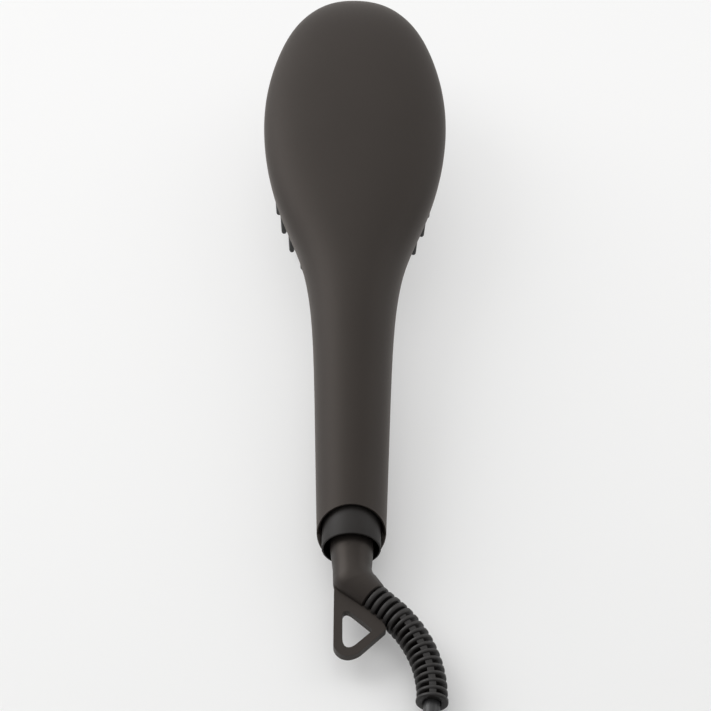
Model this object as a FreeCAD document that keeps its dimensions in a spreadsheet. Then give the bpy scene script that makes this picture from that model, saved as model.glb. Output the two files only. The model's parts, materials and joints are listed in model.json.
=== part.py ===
"""Heated styling brush: a two-shell handle and oval head, a comb base with guard pins, a heated
toothed plate, a swivelling cord boot with a hanging loop, and a mains lead put away in a coil.

The brush is drawn in its own frame: +Y runs from the handle's end to the nose of the head, +Z is the
back of the brush and the parting plane of the shells is z = 0. The finished pieces are then laid down
as the brush rests on a table: on the rear guard pins and on the lower edge of the handle's end.
"""
import FreeCAD, Part
import math
import os
import Sketcher
from FreeCAD import Placement, Rotation, Vector

# Driving dimensions: lengths in millimetres, angles in degrees.
SIZES = {
    # Case
    "handle_length": 137.0,
    "head_length": 147.5,
    "handle_end_radius": 12.7,
    "head_half_width": 38.0,
    "crown_height": 14.5,
    "case_depth": 12.5,
    "face_depth": 10.0,
    "wall": 2.0,
    "floor_thickness": 2.4,
    "edge_roll": 3.6,
    "seam_gap": 0.3,
    "bulkhead_thickness": 2.0,
    "bulkhead_drop": 4.0,
    "end_slant": 22.0,
    "end_setback": 6.4,
    "end_round": 0.7,
    "overrun": 4.0,
    # Guard pins of the comb base
    "nose_margin": 6.5,
    "seam_margin": 5.8,
    "guard_inset": 4.2,
    "guard_pitch": 10.5,
    "guard_pin_radius": 1.4,
    "guard_tip_radius": 1.0,
    "guard_pin_length": 16.0,
    "pin_socket": 1.6,
    "pin_clearance": 0.05,
    # Heated plate and its teeth
    "plate_inset": 8.3,
    "plate_end_inset": 11.6,
    "plate_lip": 2.0,
    "plate_lip_thickness": 1.6,
    "plate_recess": 0.4,
    "plate_clearance": 0.2,
    "tooth_pitch": 10.0,
    "tooth_margin": 2.8,
    "tooth_radius": 2.0,
    "tooth_tip_radius": 1.1,
    "tooth_length": 11.0,
    "tooth_socket": 1.2,
    "cap_radius": 1.6,
    "cap_length": 4.0,
    "cap_socket": 1.5,
    # Heater behind the plate
    "heater_width": 20.0,
    "heater_end_inset": 16.0,
    "heater_thickness": 2.2,
    "insulation_thickness": 0.4,
    "insulation_margin": 1.0,
    "clamp_width": 12.0,
    "clamp_thickness": 0.8,
    "clamp_boss_radius": 3.2,
    "clamp_boss_gap": 3.0,
    "sensor_radius": 1.5,
    "sensor_length": 9.0,
    "cutoff_radius": 2.0,
    "cutoff_length": 11.0,
    "sensor_gap": 2.0,
    # Screws
    "screw_radius": 1.3,
    "screw_head_radius": 2.3,
    "screw_head_height": 1.6,
    "screw_clearance": 0.15,
    "thread_clearance": 0.03,
    "screw_grip": 6.0,
    "boss_wall": 1.6,
    "head_seat_depth": 5.0,
    "handle_screw_place": 47.5,
    "handle_screw_margin": 9.0,
    "comb_screw_inset": 4.7,
    # Control board
    "board_start": 54.0,
    "board_margin": 15.0,
    "board_width": 17.0,
    "board_thickness": 1.6,
    "board_drop": 3.0,
    "post_radius": 2.3,
    "post_inset": 2.6,
    "board_screw_grip": 5.0,
    "switch_side": 6.0,
    "switch_height": 3.4,
    "plunger_radius": 1.7,
    "plunger_reach": 1.0,
    "switch_well": 0.9,
    "display_width": 9.0,
    "display_margin": 1.5,
    "display_height": 4.5,
    # Buttons and the display window
    "button_gap": 1.64,
    "button_flange": 0.9,
    "button_flange_thickness": 1.0,
    "button_proud": 0.7,
    "button_edge": 0.6,
    "button_stem_radius": 2.0,
    "button_clearance": 0.15,
    "pad_wall": 1.8,
    "pad_drop": 10.2,
    "window_width": 11.0,
    "window_thickness": 1.2,
    "window_ledge": 1.0,
    "window_clearance": 0.15,
    # Swivel collar and contacts
    "collar_inset": 1.7,
    "collar_groove": 0.6,
    "collar_length": 14.0,
    "collar_wall": 1.4,
    "recess_depth": 7.0,
    "web_thickness": 5.0,
    "tail_length": 10.0,
    "tail_wall": 1.6,
    "tail_clearance": 0.3,
    "key_place": 4.0,
    "key_width": 1.4,
    "key_depth": 1.2,
    "key_clearance": 0.2,
    "spindle_radius": 5.5,
    "spindle_clearance": 0.08,
    "spindle_shoulder": 2.0,
    "core_radius": 3.9,
    "core_length": 21.0,
    "clip_room": 0.4,
    "clip_thickness": 1.2,
    "clip_groove": 0.9,
    "clip_clearance": 0.1,
    "ring_radius": 5.0,
    "ring_width": 3.0,
    "ring_gap": 2.5,
    "ring_end": 2.0,
    "ring_clearance": 0.02,
    "carrier_wall": 3.3,
    "carrier_end": 1.5,
    "carrier_length": 14.2,
    "carrier_clearance": 0.3,
    "spring_thickness": 0.3,
    "spring_width": 2.6,
    "spring_bite": 1.2,
    "spring_clearance": 0.1,
    # Cord boot
    "neck_radius": 8.0,
    "neck_waist": 7.4,
    "neck_entry": 6.0,
    "neck_taper": 9.0,
    "neck_reach": 14.4,
    "neck_bend_radius": 8.4,
    "boot_angle": 47.0,
    "shank_length": 11.0,
    "shank_radius": 6.1,
    "spigot_length": 11.0,
    "spigot_clearance": 0.05,
    "loop_thickness": 3.2,
    "loop_depth": 32.4,
    "loop_corner": 5.0,
    "loop_foot": 8.0,
    "loop_reach": 12.9,
    "loop_rise": 11.5,
    "loop_band": 3.0,
    "loop_hole_top": 17.8,
    "loop_hole_round": 2.0,
    "sleeve_radius": 5.6,
    "sleeve_core_radius": 3.9,
    "sleeve_groove_radius": 4.8,
    "sleeve_straight": 6.5,
    "sleeve_bend_radius": 52.0,
    "rib_pitch": 3.0,
    "rib_width": 1.3,
    "spine_width": 2.8,
    "spine_cover": 0.3,
    "sleeve_clearance": 0.05,
    # Mains lead
    "cord_radius": 3.0,
    "wire_radius": 0.7,
    "wire_offset": 5.5,
    "wire_bend": 6.0,
    "coil_pitch": 6.55,
    "coil_outer_radius": 46.0,
    "lead_straight": 18.0,
    "tie_thickness": 0.8,
    "tie_width": 12.0,
    "tie_clearance": 0.3,
    "plug_width": 35.3,
    "plug_thickness": 13.7,
    "plug_length": 33.0,
    "plug_neck_width": 13.0,
    "plug_relief_radius": 5.4,
    "plug_relief_tip_radius": 4.0,
    "plug_relief_length": 21.0,
    "plug_pin_radius": 2.0,
    "plug_pin_length": 19.0,
    "plug_pin_spacing": 18.6,
}
RIB_COUNT = 17
CLOSED_RIB_COUNT = 5
COIL_TURNS_IN = 4
CLIMB_TURNS = 0.5
COIL_TURNS_OUT = 3.5
COIL_GAP_POINTS = 60

# Outline of the case at twelve stations from the handle's end to the nose. A station lies at a share of
# the handle's length plus a share of the head's. The half width grows from the handle's end radius to
# the head's by its share, and the height is a share of the end radius plus a share of the head's height.
STATION_HANDLE_SHARES = (0, 0.208, 0.498, 0.727, 0.893, 1, 1, 1, 1, 1, 1, 1)
STATION_HEAD_SHARES = (0, 0, 0, 0, 0, 0.041, 0.199, 0.402, 0.614, 0.807, 0.934, 1)
WIDTH_SHARES = (0, 0.035, 0.075, 0.12, 0.20, 0.36, 0.74, 1.00, 1.015, 0.76, 0.40, -0.10)
HEIGHT_HANDLE_SHARES = (1, 1.03, 1.08, 0.80, 0.40, 0, 0, 0, 0, 0, 0, 0)
CROWN_HEAD_SHARES = (0, 0, 0, 0.30, 0.66, 1.02, 1.03, 1.03, 1.0, 0.90, 0.66, 0.22)
FRONT_HEAD_SHARES = (0, 0, 0, 0.30, 0.66, 1.02, 1.03, 1.03, 1.0, 0.93, 0.78, 0.45)
FULLNESS_SHARES = (0, 0, 0, 0, 0.2, 0.6, 1, 1, 1, 1, 1, 1)
ROUND_SHARE = math.sqrt(0.5)
BACK_FULLNESS_SHARE = 0.85
FRONT_FULLNESS_SHARE = 2.2
# Places along the control board, as shares of its length.
BUTTON_SHARES = {"power": 0.13, "up": 0.31, "down": 0.49}
BUTTON_PITCH_SHARE = 0.18
DISPLAY_SHARE = 0.79
WINDOW_SHARE = 9 / 34
# An arc of a cord takes this much of the shorter run beside it.
BEND_SHARE = 0.45
# The loop's outer edge stands inside the neck's by this share of the loop's band.
LOOP_TUCK_SHARE = 0.4
# Sections of the plug's body from its face to its neck: place along it, growth of its width from the
# neck's to the face's, and height.
PLUG_STATION_SHARES = (0, 0.4, 0.75, 1)
PLUG_WIDTH_SHARES = (1, 0.94, 0.37, 0)
PLUG_HEIGHT_SHARES = (1, 1, 0.94, 0.85)
PLUG_ROUND_SHARE = 0.45
PIN_ROUND_SHARE = 0.8
# Points count as being on a plane within this share of the wall.
CLOSENESS_SHARE = 0.01
# Places of the case screws, as expressions on the sheets.
HANDLE_SCREW_SPOTS = ["sizes.handle_screw_place", "sizes.handle_length - sizes.handle_screw_margin"]
COMB_SCREW_SPOTS = [
    "places.head_centre - places.comb_screw_reach",
    "places.head_centre + places.comb_screw_reach",
]

doc = FreeCAD.newDocument("styling_brush")
nodes = {}
cord_nodes = {}


def fill_sheet(name, values):
    """A sheet with one aliased cell for each value."""
    sheet = doc.addObject("Spreadsheet::Sheet", name)
    for row, (alias, value) in enumerate(values.items(), start=1):
        sheet.set(f"A{row}", alias)
        sheet.set(f"B{row}", str(value))
        sheet.setAlias(f"B{row}", alias)
    doc.recompute()
    return sheet


sheet = fill_sheet("sizes", SIZES)


class Sizes:
    """The sheet's values by alias."""

    def __getattr__(self, alias):
        return float(sheet.get(alias))


size = Sizes()

# Places worked out from the sizes, in the brush's frame, and kept in a second sheet for the sketches.
body_length = size.handle_length + size.head_length
guard_half_length = (size.head_length - size.nose_margin - size.seam_margin) / 2
guard_half_width = size.head_half_width - size.guard_inset
head_centre = body_length - size.nose_margin - guard_half_length
plate_half_width = guard_half_width - size.plate_inset
plate_half_length = guard_half_length - size.plate_end_inset
floor_top = size.floor_thickness - size.face_depth
plate_back = floor_top + size.plate_lip_thickness
plate_face = size.plate_recess - size.face_depth
heater_back = plate_back + size.heater_thickness
insulation_back = heater_back + size.insulation_thickness
heater_length = 2 * (plate_half_length - size.heater_end_inset)
clamp_boss_reach = heater_length / 2 + size.clamp_boss_gap + size.clamp_boss_radius
board_length = size.handle_length - size.board_margin - size.board_start
button_radius = (BUTTON_PITCH_SHARE * board_length - size.button_gap) / 2 - size.button_flange
window_length = WINDOW_SHARE * board_length
display_length = window_length - 2 * size.display_margin
board_under = -size.board_drop
board_top = board_under + size.board_thickness
switch_under = board_under - size.switch_height
plunger_end = switch_under - size.plunger_reach
collar_radius = size.handle_end_radius - size.collar_inset
recess_radius = collar_radius - size.collar_wall
tail_radius = size.handle_end_radius - size.wall - size.tail_clearance
tail_end = size.collar_length + size.tail_length
web_inner = size.recess_depth + size.web_thickness
clip_start = web_inner + size.clip_clearance
clip_end = clip_start + size.clip_thickness
shoulder_end = clip_end + size.spindle_shoulder
spindle_end = shoulder_end + size.core_length
ring_starts = [
    spindle_end - size.ring_end - size.ring_width,
    spindle_end - size.ring_end - size.ring_gap - size.ring_width * 2,
]
carrier_start = tail_end + size.carrier_clearance
carrier_stop = carrier_start + size.carrier_length
carrier_bore = tail_radius - size.carrier_wall
chamber_radius = tail_radius - size.key_depth - size.tail_wall + size.key_clearance
clip_radius = chamber_radius - size.clip_room
pin_tip = -size.face_depth - size.guard_pin_length
tooth_end = plate_face - size.tooth_length
spigot_start = size.neck_entry - size.spigot_length
button_places = {name: size.board_start + share * board_length for name, share in BUTTON_SHARES.items()}
display_place = size.board_start + DISPLAY_SHARE * board_length
handle_screw_places = (size.handle_screw_place, size.handle_length - size.handle_screw_margin)
comb_screw_reach = guard_half_length - size.comb_screw_inset
pillar_radius = size.screw_head_radius + size.screw_clearance + size.boss_wall
boss_radius = size.screw_radius + size.boss_wall


def feature(name, shape):
    """A shape worked out with the modeller's own functions, as an object of the document."""
    item = doc.addObject("Part::Feature", name)
    item.Shape = shape
    return item


def bind(item, **expressions):
    """Tie an object's properties to the sheets."""
    for prop, expression in expressions.items():
        item.setExpression(prop.replace("_", "."), str(expression))
    return item


def box(name, width, length, height, x="0", y="0", z="0"):
    """A box centred on x and y, standing on z; every argument is an expression on the sheets."""
    item = doc.addObject("Part::Box", name)
    bind(item, Length=width, Width=length, Height=height)
    bind(item, Placement_Base_x=f"{x} - ({width}) / 2", Placement_Base_y=f"{y} - ({length}) / 2")
    return bind(item, Placement_Base_z=z)


def post(name, radius, height, x="0", y="0", z="0"):
    """An upright cylinder."""
    item = doc.addObject("Part::Cylinder", name)
    bind(item, Radius=radius, Height=height)
    return bind(item, Placement_Base_x=x, Placement_Base_y=y, Placement_Base_z=z)


def oval(name, half_width, half_length, height, z):
    """An upright elliptical prism about the centre of the head."""
    rim = doc.addObject("Part::Ellipse", name + "_rim")
    bind(rim, MajorRadius=half_length, MinorRadius=half_width)
    rim.Placement = Placement(Vector(), Rotation(Vector(0, 0, 1), 90))
    bind(rim, Placement_Base_y="places.head_centre", Placement_Base_z=z)
    item = doc.addObject("Part::Extrusion", name)
    item.Base = rim
    item.DirMode = "Custom"
    item.Dir = Vector(0, 0, 1)
    item.Solid = True
    return bind(item, LengthFwd=height)


def fuse(name, parts):
    item = doc.addObject("Part::MultiFuse", name)
    item.Shapes = parts
    return item


def common(name, parts):
    item = doc.addObject("Part::MultiCommon", name)
    item.Shapes = parts
    return item


def cut(name, base, tools):
    item = doc.addObject("Part::Cut", name)
    item.Base = base
    item.Tool = tools[0] if len(tools) == 1 else fuse(name + "_tools", tools)
    return item


def sketch_outline(sketch, corners):
    """A closed outline whose corners are tied to expressions, as pairs across and up the sketch."""
    points = []
    for across, up in corners:
        points.append(Vector(float(sketch.evalExpression(across)), float(sketch.evalExpression(up)), 0))
    count = len(points)
    for i in range(count):
        sketch.addGeometry(Part.LineSegment(points[i], points[(i + 1) % count]), False)
    for i in range(count):
        sketch.addConstraint(Sketcher.Constraint("Coincident", i, 2, (i + 1) % count, 1))
    for i, pair in enumerate(corners):
        for kind, axis, expression, value in (
            ("DistanceX", -2, pair[0], points[i].x),
            ("DistanceY", -1, pair[1], points[i].y),
        ):
            if expression == "0":
                sketch.addConstraint(Sketcher.Constraint("PointOnObject", i, 1, axis))
                continue
            index = sketch.addConstraint(Sketcher.Constraint(kind, -1, 1, i, 1, value))
            sketch.setExpression(f"Constraints[{index}]", expression)


def sketched_body(name, plane_role, corners):
    """A body and the sketch of its outline on one of its own origin planes."""
    body = doc.addObject("PartDesign::Body", name)
    sketch = body.newObject("Sketcher::SketchObject", name + "_outline")
    plane = [item for item in body.Origin.OriginFeatures if item.Role == plane_role][0]
    sketch.AttachmentSupport = [(plane, "")]
    sketch.MapMode = "FlatFace"
    sketch_outline(sketch, corners)
    return body, sketch


def turned(name, plane_role, corners):
    """A piece turned about the sketch's upright axis; corners are pairs of radius and height."""
    body, sketch = sketched_body(name, plane_role, corners)
    turn = body.newObject("PartDesign::Revolution", name + "_turn")
    turn.Profile = sketch
    turn.ReferenceAxis = (sketch, ["V_Axis"])
    turn.Angle = 360
    return body


def slab(name, plane_role, corners, thickness):
    """A plate of an outline, half its thickness to each side of the plane."""
    body, sketch = sketched_body(name, plane_role, corners)
    pad = body.newObject("PartDesign::Pad", name + "_pad")
    pad.Profile = sketch
    pad.Midplane = True
    bind(pad, Length=thickness)
    return body


def copies(name, master, places):
    """Separate copies of one piece, as one node."""
    doc.recompute()
    solids = []
    for place in places:
        solid = master.Shape.Solids[0].copy()
        solid.translate(place)
        solids.append(solid)
    return feature(name, Part.makeCompound(solids))


def keep(item):
    """Count an object as a sub-part of the brush."""
    nodes[item.Label] = item
    return item


def keep_cord(item):
    """Count an object as a sub-part that already lies in the table's frame."""
    cord_nodes[item.Label] = item
    return item


# Paths of straight runs and tangent arcs
def corner_arc(start, corner, end):
    """The arc that leaves start towards corner and reaches end, both as far from the corner."""
    middle = (start + end) / 2
    half_chord = (end - start).Length / 2
    rise = corner - middle
    quarter_turn = math.atan2(rise.Length, half_chord) / 2
    summit = middle + rise.normalize() * half_chord * math.tan(quarter_turn)
    return Part.Arc(start, summit, end).toShape()


def rounded_path(points):
    """Runs between points, joined by arcs as large as the shorter run allows, and their radii."""
    edges, radii = [], []
    start = points[0]
    for before, corner, after in zip(points, points[1:], points[2:]):
        into, out = (corner - before), (after - corner)
        half_turn = into.getAngle(out) / 2
        reach = BEND_SHARE * min(into.Length, out.Length)
        radii.append(reach / math.tan(half_turn))
        first = corner - into.normalize() * reach
        last = corner + out.normalize() * reach
        edges.append(Part.LineSegment(start, first).toShape())
        edges.append(corner_arc(first, corner, last))
        start = last
    edges.append(Part.LineSegment(start, points[-1]).toShape())
    return Part.Wire(edges), radii


def biarc(start, leaving, end, arriving):
    """Two tangent arcs between two points with given directions."""
    span = end - start
    both = leaving + arriving
    spread = 1 - leaving.dot(arriving)
    along = span.dot(both)
    reach = (math.sqrt(along**2 + 2 * spread * span.Length**2) - along) / (2 * spread)
    first = start + leaving * reach
    last = end - arriving * reach
    middle = (first + last) / 2
    return [corner_arc(start, first, middle), corner_arc(middle, last, end)]


def swept(path, profile):
    """A solid swept along a wire."""
    pipe = Part.BRepOffsetAPI.MakePipeShell(path)
    pipe.add(profile)
    pipe.build()
    pipe.makeSolid()
    return pipe.shape()


def tube(path, radius):
    """A round tube along a wire."""
    start = path.OrderedVertexes[0].Point
    edge = path.OrderedEdges[0]
    direction = edge.tangentAt(edge.Curve.parameter(start))
    return swept(path, Part.Wire(Part.Circle(start, direction, radius).toShape()))


# The case
def stations(up, inset):
    """Half width, place and height of the case at each station, drawn in by an inset."""
    head_height = size.crown_height if up > 0 else size.case_depth
    height_shares = CROWN_HEAD_SHARES if up > 0 else FRONT_HEAD_SHARES
    fullness = BACK_FULLNESS_SHARE if up > 0 else FRONT_FULLNESS_SHARE
    grown = size.head_half_width - size.handle_end_radius
    rows = []
    for i, width_share in enumerate(WIDTH_SHARES):
        place = STATION_HANDLE_SHARES[i] * size.handle_length + STATION_HEAD_SHARES[i] * size.head_length
        if STATION_HEAD_SHARES[i] == 1:
            place -= inset
        half_width = size.handle_end_radius + width_share * grown - inset
        height = HEIGHT_HANDLE_SHARES[i] * size.handle_end_radius + height_shares[i] * head_height
        weight = ROUND_SHARE + FULLNESS_SHARES[i] * (fullness - ROUND_SHARE)
        rows.append((half_width, place, up * (height - inset), weight))
    rows.append((0, body_length - inset, 0, 1))
    return rows


def half_case(name, up, inset):
    """The back (up = 1) or the front (up = -1) of the case as a closed solid under one lofted skin."""
    rows = stations(up, inset)
    poles, weights = [], []
    for across, rise in ((1, 0), (1, 1), (0, 1), (-1, 1), (-1, 0)):
        poles.append([Vector(across * width, place, rise * height) for width, place, height, _ in rows])
        weights.append([weight if across and rise else 1 for _, _, _, weight in rows])
    spans = len(rows) - 3
    skin = Part.BSplineSurface()
    skin.buildFromPolesMultsKnots(
        poles, [3, 2, 3], [4] + [1] * (spans - 1) + [4], [0, 1, 2], list(range(spans + 1)),
        False, False, 2, 3, weights,
    )
    face = skin.toShape()
    edges = [edge for edge in face.Edges if not edge.Degenerated]
    middles = [edge.valueAt((edge.FirstParameter + edge.LastParameter) / 2) for edge in edges]
    arch = max(zip(edges, middles), key=lambda pair: abs(pair[1].z))[0]
    sides = [edge for edge in edges if not edge.isSame(arch)]
    across = Part.LineSegment(arch.Vertexes[0].Point, arch.Vertexes[-1].Point).toShape()
    parting = Part.Face(Part.Wire(Part.sortEdges(sides + [across])[0]))
    end = Part.Face(Part.Wire(Part.sortEdges([arch, across])[0]))
    shell = Part.Shell([face, parting, end])
    shell.sewShape()
    solid = Part.Solid(shell)
    if solid.Volume < 0:
        solid.reverse()
    return feature(name, solid)


back_solid = half_case("back_solid", 1, 0)
back_cavity = half_case("back_cavity", 1, size.wall)
front_solid = half_case("front_solid", -1, 0)
front_cavity = half_case("front_cavity", -1, size.wall)


def front_depth(place):
    """How far the front of the case lies below the parting plane on the centre line."""
    line = Part.LineSegment(Vector(0, place, 0), Vector(0, place, -2 * size.case_depth)).toShape()
    return -front_solid.Shape.common(line).BoundBox.ZMin


def end_corner():
    """Where the slanted end of the handle meets its underside."""
    slope = math.tan(math.radians(size.end_slant))
    place = size.end_setback - slope * size.handle_end_radius
    return Vector(0, place, -front_depth(place))


def guard_places():
    """Places of the guard pins: one at the nose, the rest evenly round the oval, in mirrored pairs."""
    rim = Part.Ellipse(Vector(0, guard_half_length, 0), Vector(guard_half_width, 0, 0), Vector())
    edge = rim.toShape()
    count = 2 * int(edge.Length / size.guard_pitch / 2) + 1
    return [Vector(0, head_centre, 0) + point for point in edge.discretize(count + 1)[:-1]]


def tooth_places():
    """Places of the heated teeth in staggered rows inside the plate's edge."""
    reach_x = plate_half_width - size.tooth_margin
    reach_y = plate_half_length - size.tooth_margin
    places = []
    rows = int(reach_y / size.tooth_pitch)
    columns = int(reach_x / size.tooth_pitch) + 1
    for row in range(-rows, rows + 1):
        shift = 0 if row % 2 == 0 else size.tooth_pitch / 2
        for column in range(-columns, columns + 1):
            x, y = column * size.tooth_pitch + shift, row * size.tooth_pitch
            if (x / reach_x) ** 2 + (y / reach_y) ** 2 <= 1:
                places.append(Vector(x, head_centre + y, 0))
    return places


button_faces = {name: front_depth(place) + size.button_proud for name, place in button_places.items()}
places = {
    "body_length": body_length,
    "head_centre": head_centre,
    "seam_start": size.handle_length,
    "plate_half_width": plate_half_width,
    "plate_half_length": plate_half_length,
    "floor_top": floor_top,
    "plate_back": plate_back,
    "plate_face": plate_face,
    "heater_back": heater_back,
    "insulation_back": insulation_back,
    "heater_length": heater_length,
    "clamp_boss_reach": clamp_boss_reach,
    "board_length": board_length,
    "board_middle": size.board_start + board_length / 2,
    "button_radius": button_radius,
    "window_length": window_length,
    "display_length": display_length,
    "board_under": board_under,
    "board_top": board_top,
    "switch_under": switch_under,
    "plunger_end": plunger_end,
    "display_place": display_place,
    "collar_radius": collar_radius,
    "recess_radius": recess_radius,
    "tail_radius": tail_radius,
    "tail_end": tail_end,
    "web_inner": web_inner,
    "clip_start": clip_start,
    "clip_end": clip_end,
    "shoulder_end": shoulder_end,
    "spindle_end": spindle_end,
    "ring_start": ring_starts[0],
    "carrier_start": carrier_start,
    "carrier_stop": carrier_stop,
    "carrier_bore": carrier_bore,
    "chamber_radius": chamber_radius,
    "clip_radius": clip_radius,
    "pin_base": size.pin_socket - size.face_depth,
    "pin_tip": pin_tip,
    "tooth_base": plate_face + size.tooth_socket,
    "tooth_end": tooth_end,
    "spigot_start": spigot_start,
    "pillar_radius": pillar_radius,
    "boss_radius": boss_radius,
    "comb_screw_reach": comb_screw_reach,
    "head_seat": -size.head_seat_depth,
}
for button_name, button_place in button_places.items():
    places[button_name + "_place"] = button_place
    places[button_name + "_face"] = -button_faces[button_name]
fill_sheet("places", places)


# Tools shared by both shells
def end_trim(name):
    """Everything beyond the slanted end of the handle."""
    slope = "tan(sizes.end_slant) * (sizes.handle_end_radius + sizes.overrun)"
    beyond = "sizes.overrun + sizes.handle_end_radius"
    height = "sizes.handle_end_radius + sizes.overrun"
    corners = [
        (f"sizes.end_setback + {slope}", height),
        (f"-({beyond})", height),
        (f"-({beyond})", f"-({height})"),
        (f"sizes.end_setback - {slope}", f"-({height})"),
    ]
    return slab(name, "YZ_Plane", corners, "4 * sizes.handle_end_radius")


def collar_seat(name):
    """The round seat for the collar in the end of the handle."""
    seat_radius = "places.collar_radius + sizes.collar_groove"
    return turned(name, "XY_Plane", [
        ("0", "-sizes.overrun"),
        (seat_radius, "-sizes.overrun"),
        (seat_radius, "sizes.collar_length"),
        ("0", "sizes.collar_length"),
    ])


def collar_key(name):
    """The ring inside the handle that keys into the collar's groove."""
    inner = "places.tail_radius - sizes.key_depth + sizes.key_clearance"
    start = "sizes.collar_length + sizes.key_place + sizes.key_clearance"
    return turned(name, "XY_Plane", [
        (inner, start),
        ("sizes.handle_end_radius", start),
        ("sizes.handle_end_radius", f"{start} + sizes.key_width"),
        (inner, f"{start} + sizes.key_width"),
    ])


end_tool = end_trim("end_tool")
seat_tool = collar_seat("seat_tool")
key_ring = collar_key("key_ring")


def round_end(name, base):
    """Round the outer edge of the slanted end of a shell."""
    doc.recompute()
    slope = math.tan(math.radians(size.end_slant))
    closeness = size.wall * CLOSENESS_SHARE
    chosen = []
    for index, edge in enumerate(base.Shape.Edges, start=1):
        points = [edge.valueAt(edge.FirstParameter + (edge.LastParameter - edge.FirstParameter) * share)
                  for share in (0.2, 0.5, 0.8)]
        on_plane = all(abs(p.y - size.end_setback - slope * p.z) < closeness for p in points)
        outside = all(math.hypot(p.x, p.z) > size.handle_end_radius - size.wall / 4 for p in points)
        if on_plane and outside:
            chosen.append((index, size.end_round, size.end_round))
    item = doc.addObject("Part::Fillet", name)
    item.Base = base
    item.Edges = chosen
    return item


def make_back_shell():
    raw = cut("back_raw", back_solid, [back_cavity, end_tool, seat_tool])
    bosses, bores = [], []
    reach = "sizes.crown_height + sizes.overrun"
    spots = HANDLE_SCREW_SPOTS + COMB_SCREW_SPOTS
    for i, spot in enumerate(spots):
        bosses.append(post(f"back_boss_{i}", "places.boss_radius", reach, y=spot))
        bores.append(post(f"back_bore_{i}", "sizes.screw_radius + sizes.thread_clearance",
                          "sizes.screw_grip + sizes.screw_clearance", y=spot))
    inner = common("back_inner", [back_solid, fuse("back_bosses", bosses + [key_ring])])
    joined = fuse("back_joined", [raw, inner])
    drilled = cut("back_drilled", joined, bores)
    return keep(round_end("back_shell", drilled))


def make_handle_cover():
    seam = "places.seam_start"
    handle_zone = box("handle_zone", "4 * sizes.head_half_width", seam, "4 * sizes.case_depth",
                      y=f"{seam} / 2", z="-4 * sizes.case_depth")
    solid = common("cover_solid", [front_solid, handle_zone])
    raw = cut("cover_raw", solid, [front_cavity, end_tool, seat_tool])
    depth = "2 * sizes.case_depth"
    wall_height = f"{depth} - sizes.bulkhead_drop"
    added = [
        key_ring,
        box("cover_bulkhead", "4 * sizes.head_half_width", "sizes.bulkhead_thickness", wall_height,
            y=f"{seam} - sizes.bulkhead_thickness / 2", z=f"-({depth})"),
    ]
    holes = []
    for i, spot in enumerate(HANDLE_SCREW_SPOTS):
        added.append(post(f"cover_pillar_{i}", "places.pillar_radius", depth, y=spot, z=f"-({depth})"))
        holes.append(post(f"cover_hole_{i}", "sizes.screw_radius + sizes.screw_clearance",
                          "sizes.head_seat_depth + sizes.overrun", y=spot, z="places.head_seat"))
        holes.append(post(f"cover_sink_{i}", "sizes.screw_head_radius + sizes.screw_clearance",
                          f"{depth} + places.head_seat", y=spot, z=f"-({depth})"))
    inset = "sizes.board_width / 2 - sizes.post_inset"
    ends = ("sizes.board_start + sizes.post_inset",
            "sizes.board_start + places.board_length - sizes.post_inset")
    for i, (side, end) in enumerate([(side, end) for side in ("", "-") for end in ends]):
        added.append(post(f"cover_post_{i}", "sizes.post_radius", f"{depth} + places.board_under",
                          x=f"{side}({inset})", y=end, z=f"-({depth})"))
        holes.append(post(f"cover_post_bore_{i}", "sizes.screw_radius + sizes.thread_clearance",
                          "sizes.board_screw_grip + sizes.screw_clearance", x=f"{side}({inset})", y=end,
                          z="places.board_under - sizes.board_screw_grip - sizes.screw_clearance"))
    bore = "places.button_radius + sizes.button_clearance"
    for name in BUTTON_SHARES:
        spot = f"places.{name}_place"
        added.append(post(f"{name}_pad", f"{bore} + sizes.pad_wall", f"{depth} - sizes.pad_drop",
                          y=spot, z=f"-({depth})"))
        holes.append(post(f"{name}_bore", bore, depth, y=spot, z=f"-({depth})"))
    window = box("window_hole", "sizes.window_width - 2 * sizes.window_ledge",
                 "places.window_length - 2 * sizes.window_ledge", depth,
                 y="places.display_place", z=f"-({depth}) + places.board_under")
    under_window = half_case("under_window", -1, size.window_thickness + size.window_clearance)
    window_zone = box("window_zone", "sizes.window_width + 2 * sizes.window_clearance",
                      "places.window_length + 2 * sizes.window_clearance", depth,
                      y="places.display_place", z=f"-({depth}) + places.board_under")
    recess = cut("window_recess", common("window_skin", [front_solid, window_zone]), [under_window])
    inner = common("cover_inner", [solid, fuse("cover_features", added)])
    beyond = cut("cover_inner_trimmed", inner, [end_tool, seat_tool])
    joined = fuse("cover_joined", [raw, beyond])
    drilled = cut("cover_drilled", joined, holes + [window, recess])
    return keep(round_end("handle_cover", drilled))


def make_display_window():
    skin = half_case("window_under_skin", -1, size.window_thickness)
    depth = "2 * sizes.case_depth"
    zone = box("window_block", "sizes.window_width", "places.window_length", depth,
               y="places.display_place", z=f"-({depth}) + places.board_under")
    block = common("window_blank", [front_solid, zone])
    return keep(cut("display_window", block, [skin]))


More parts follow.
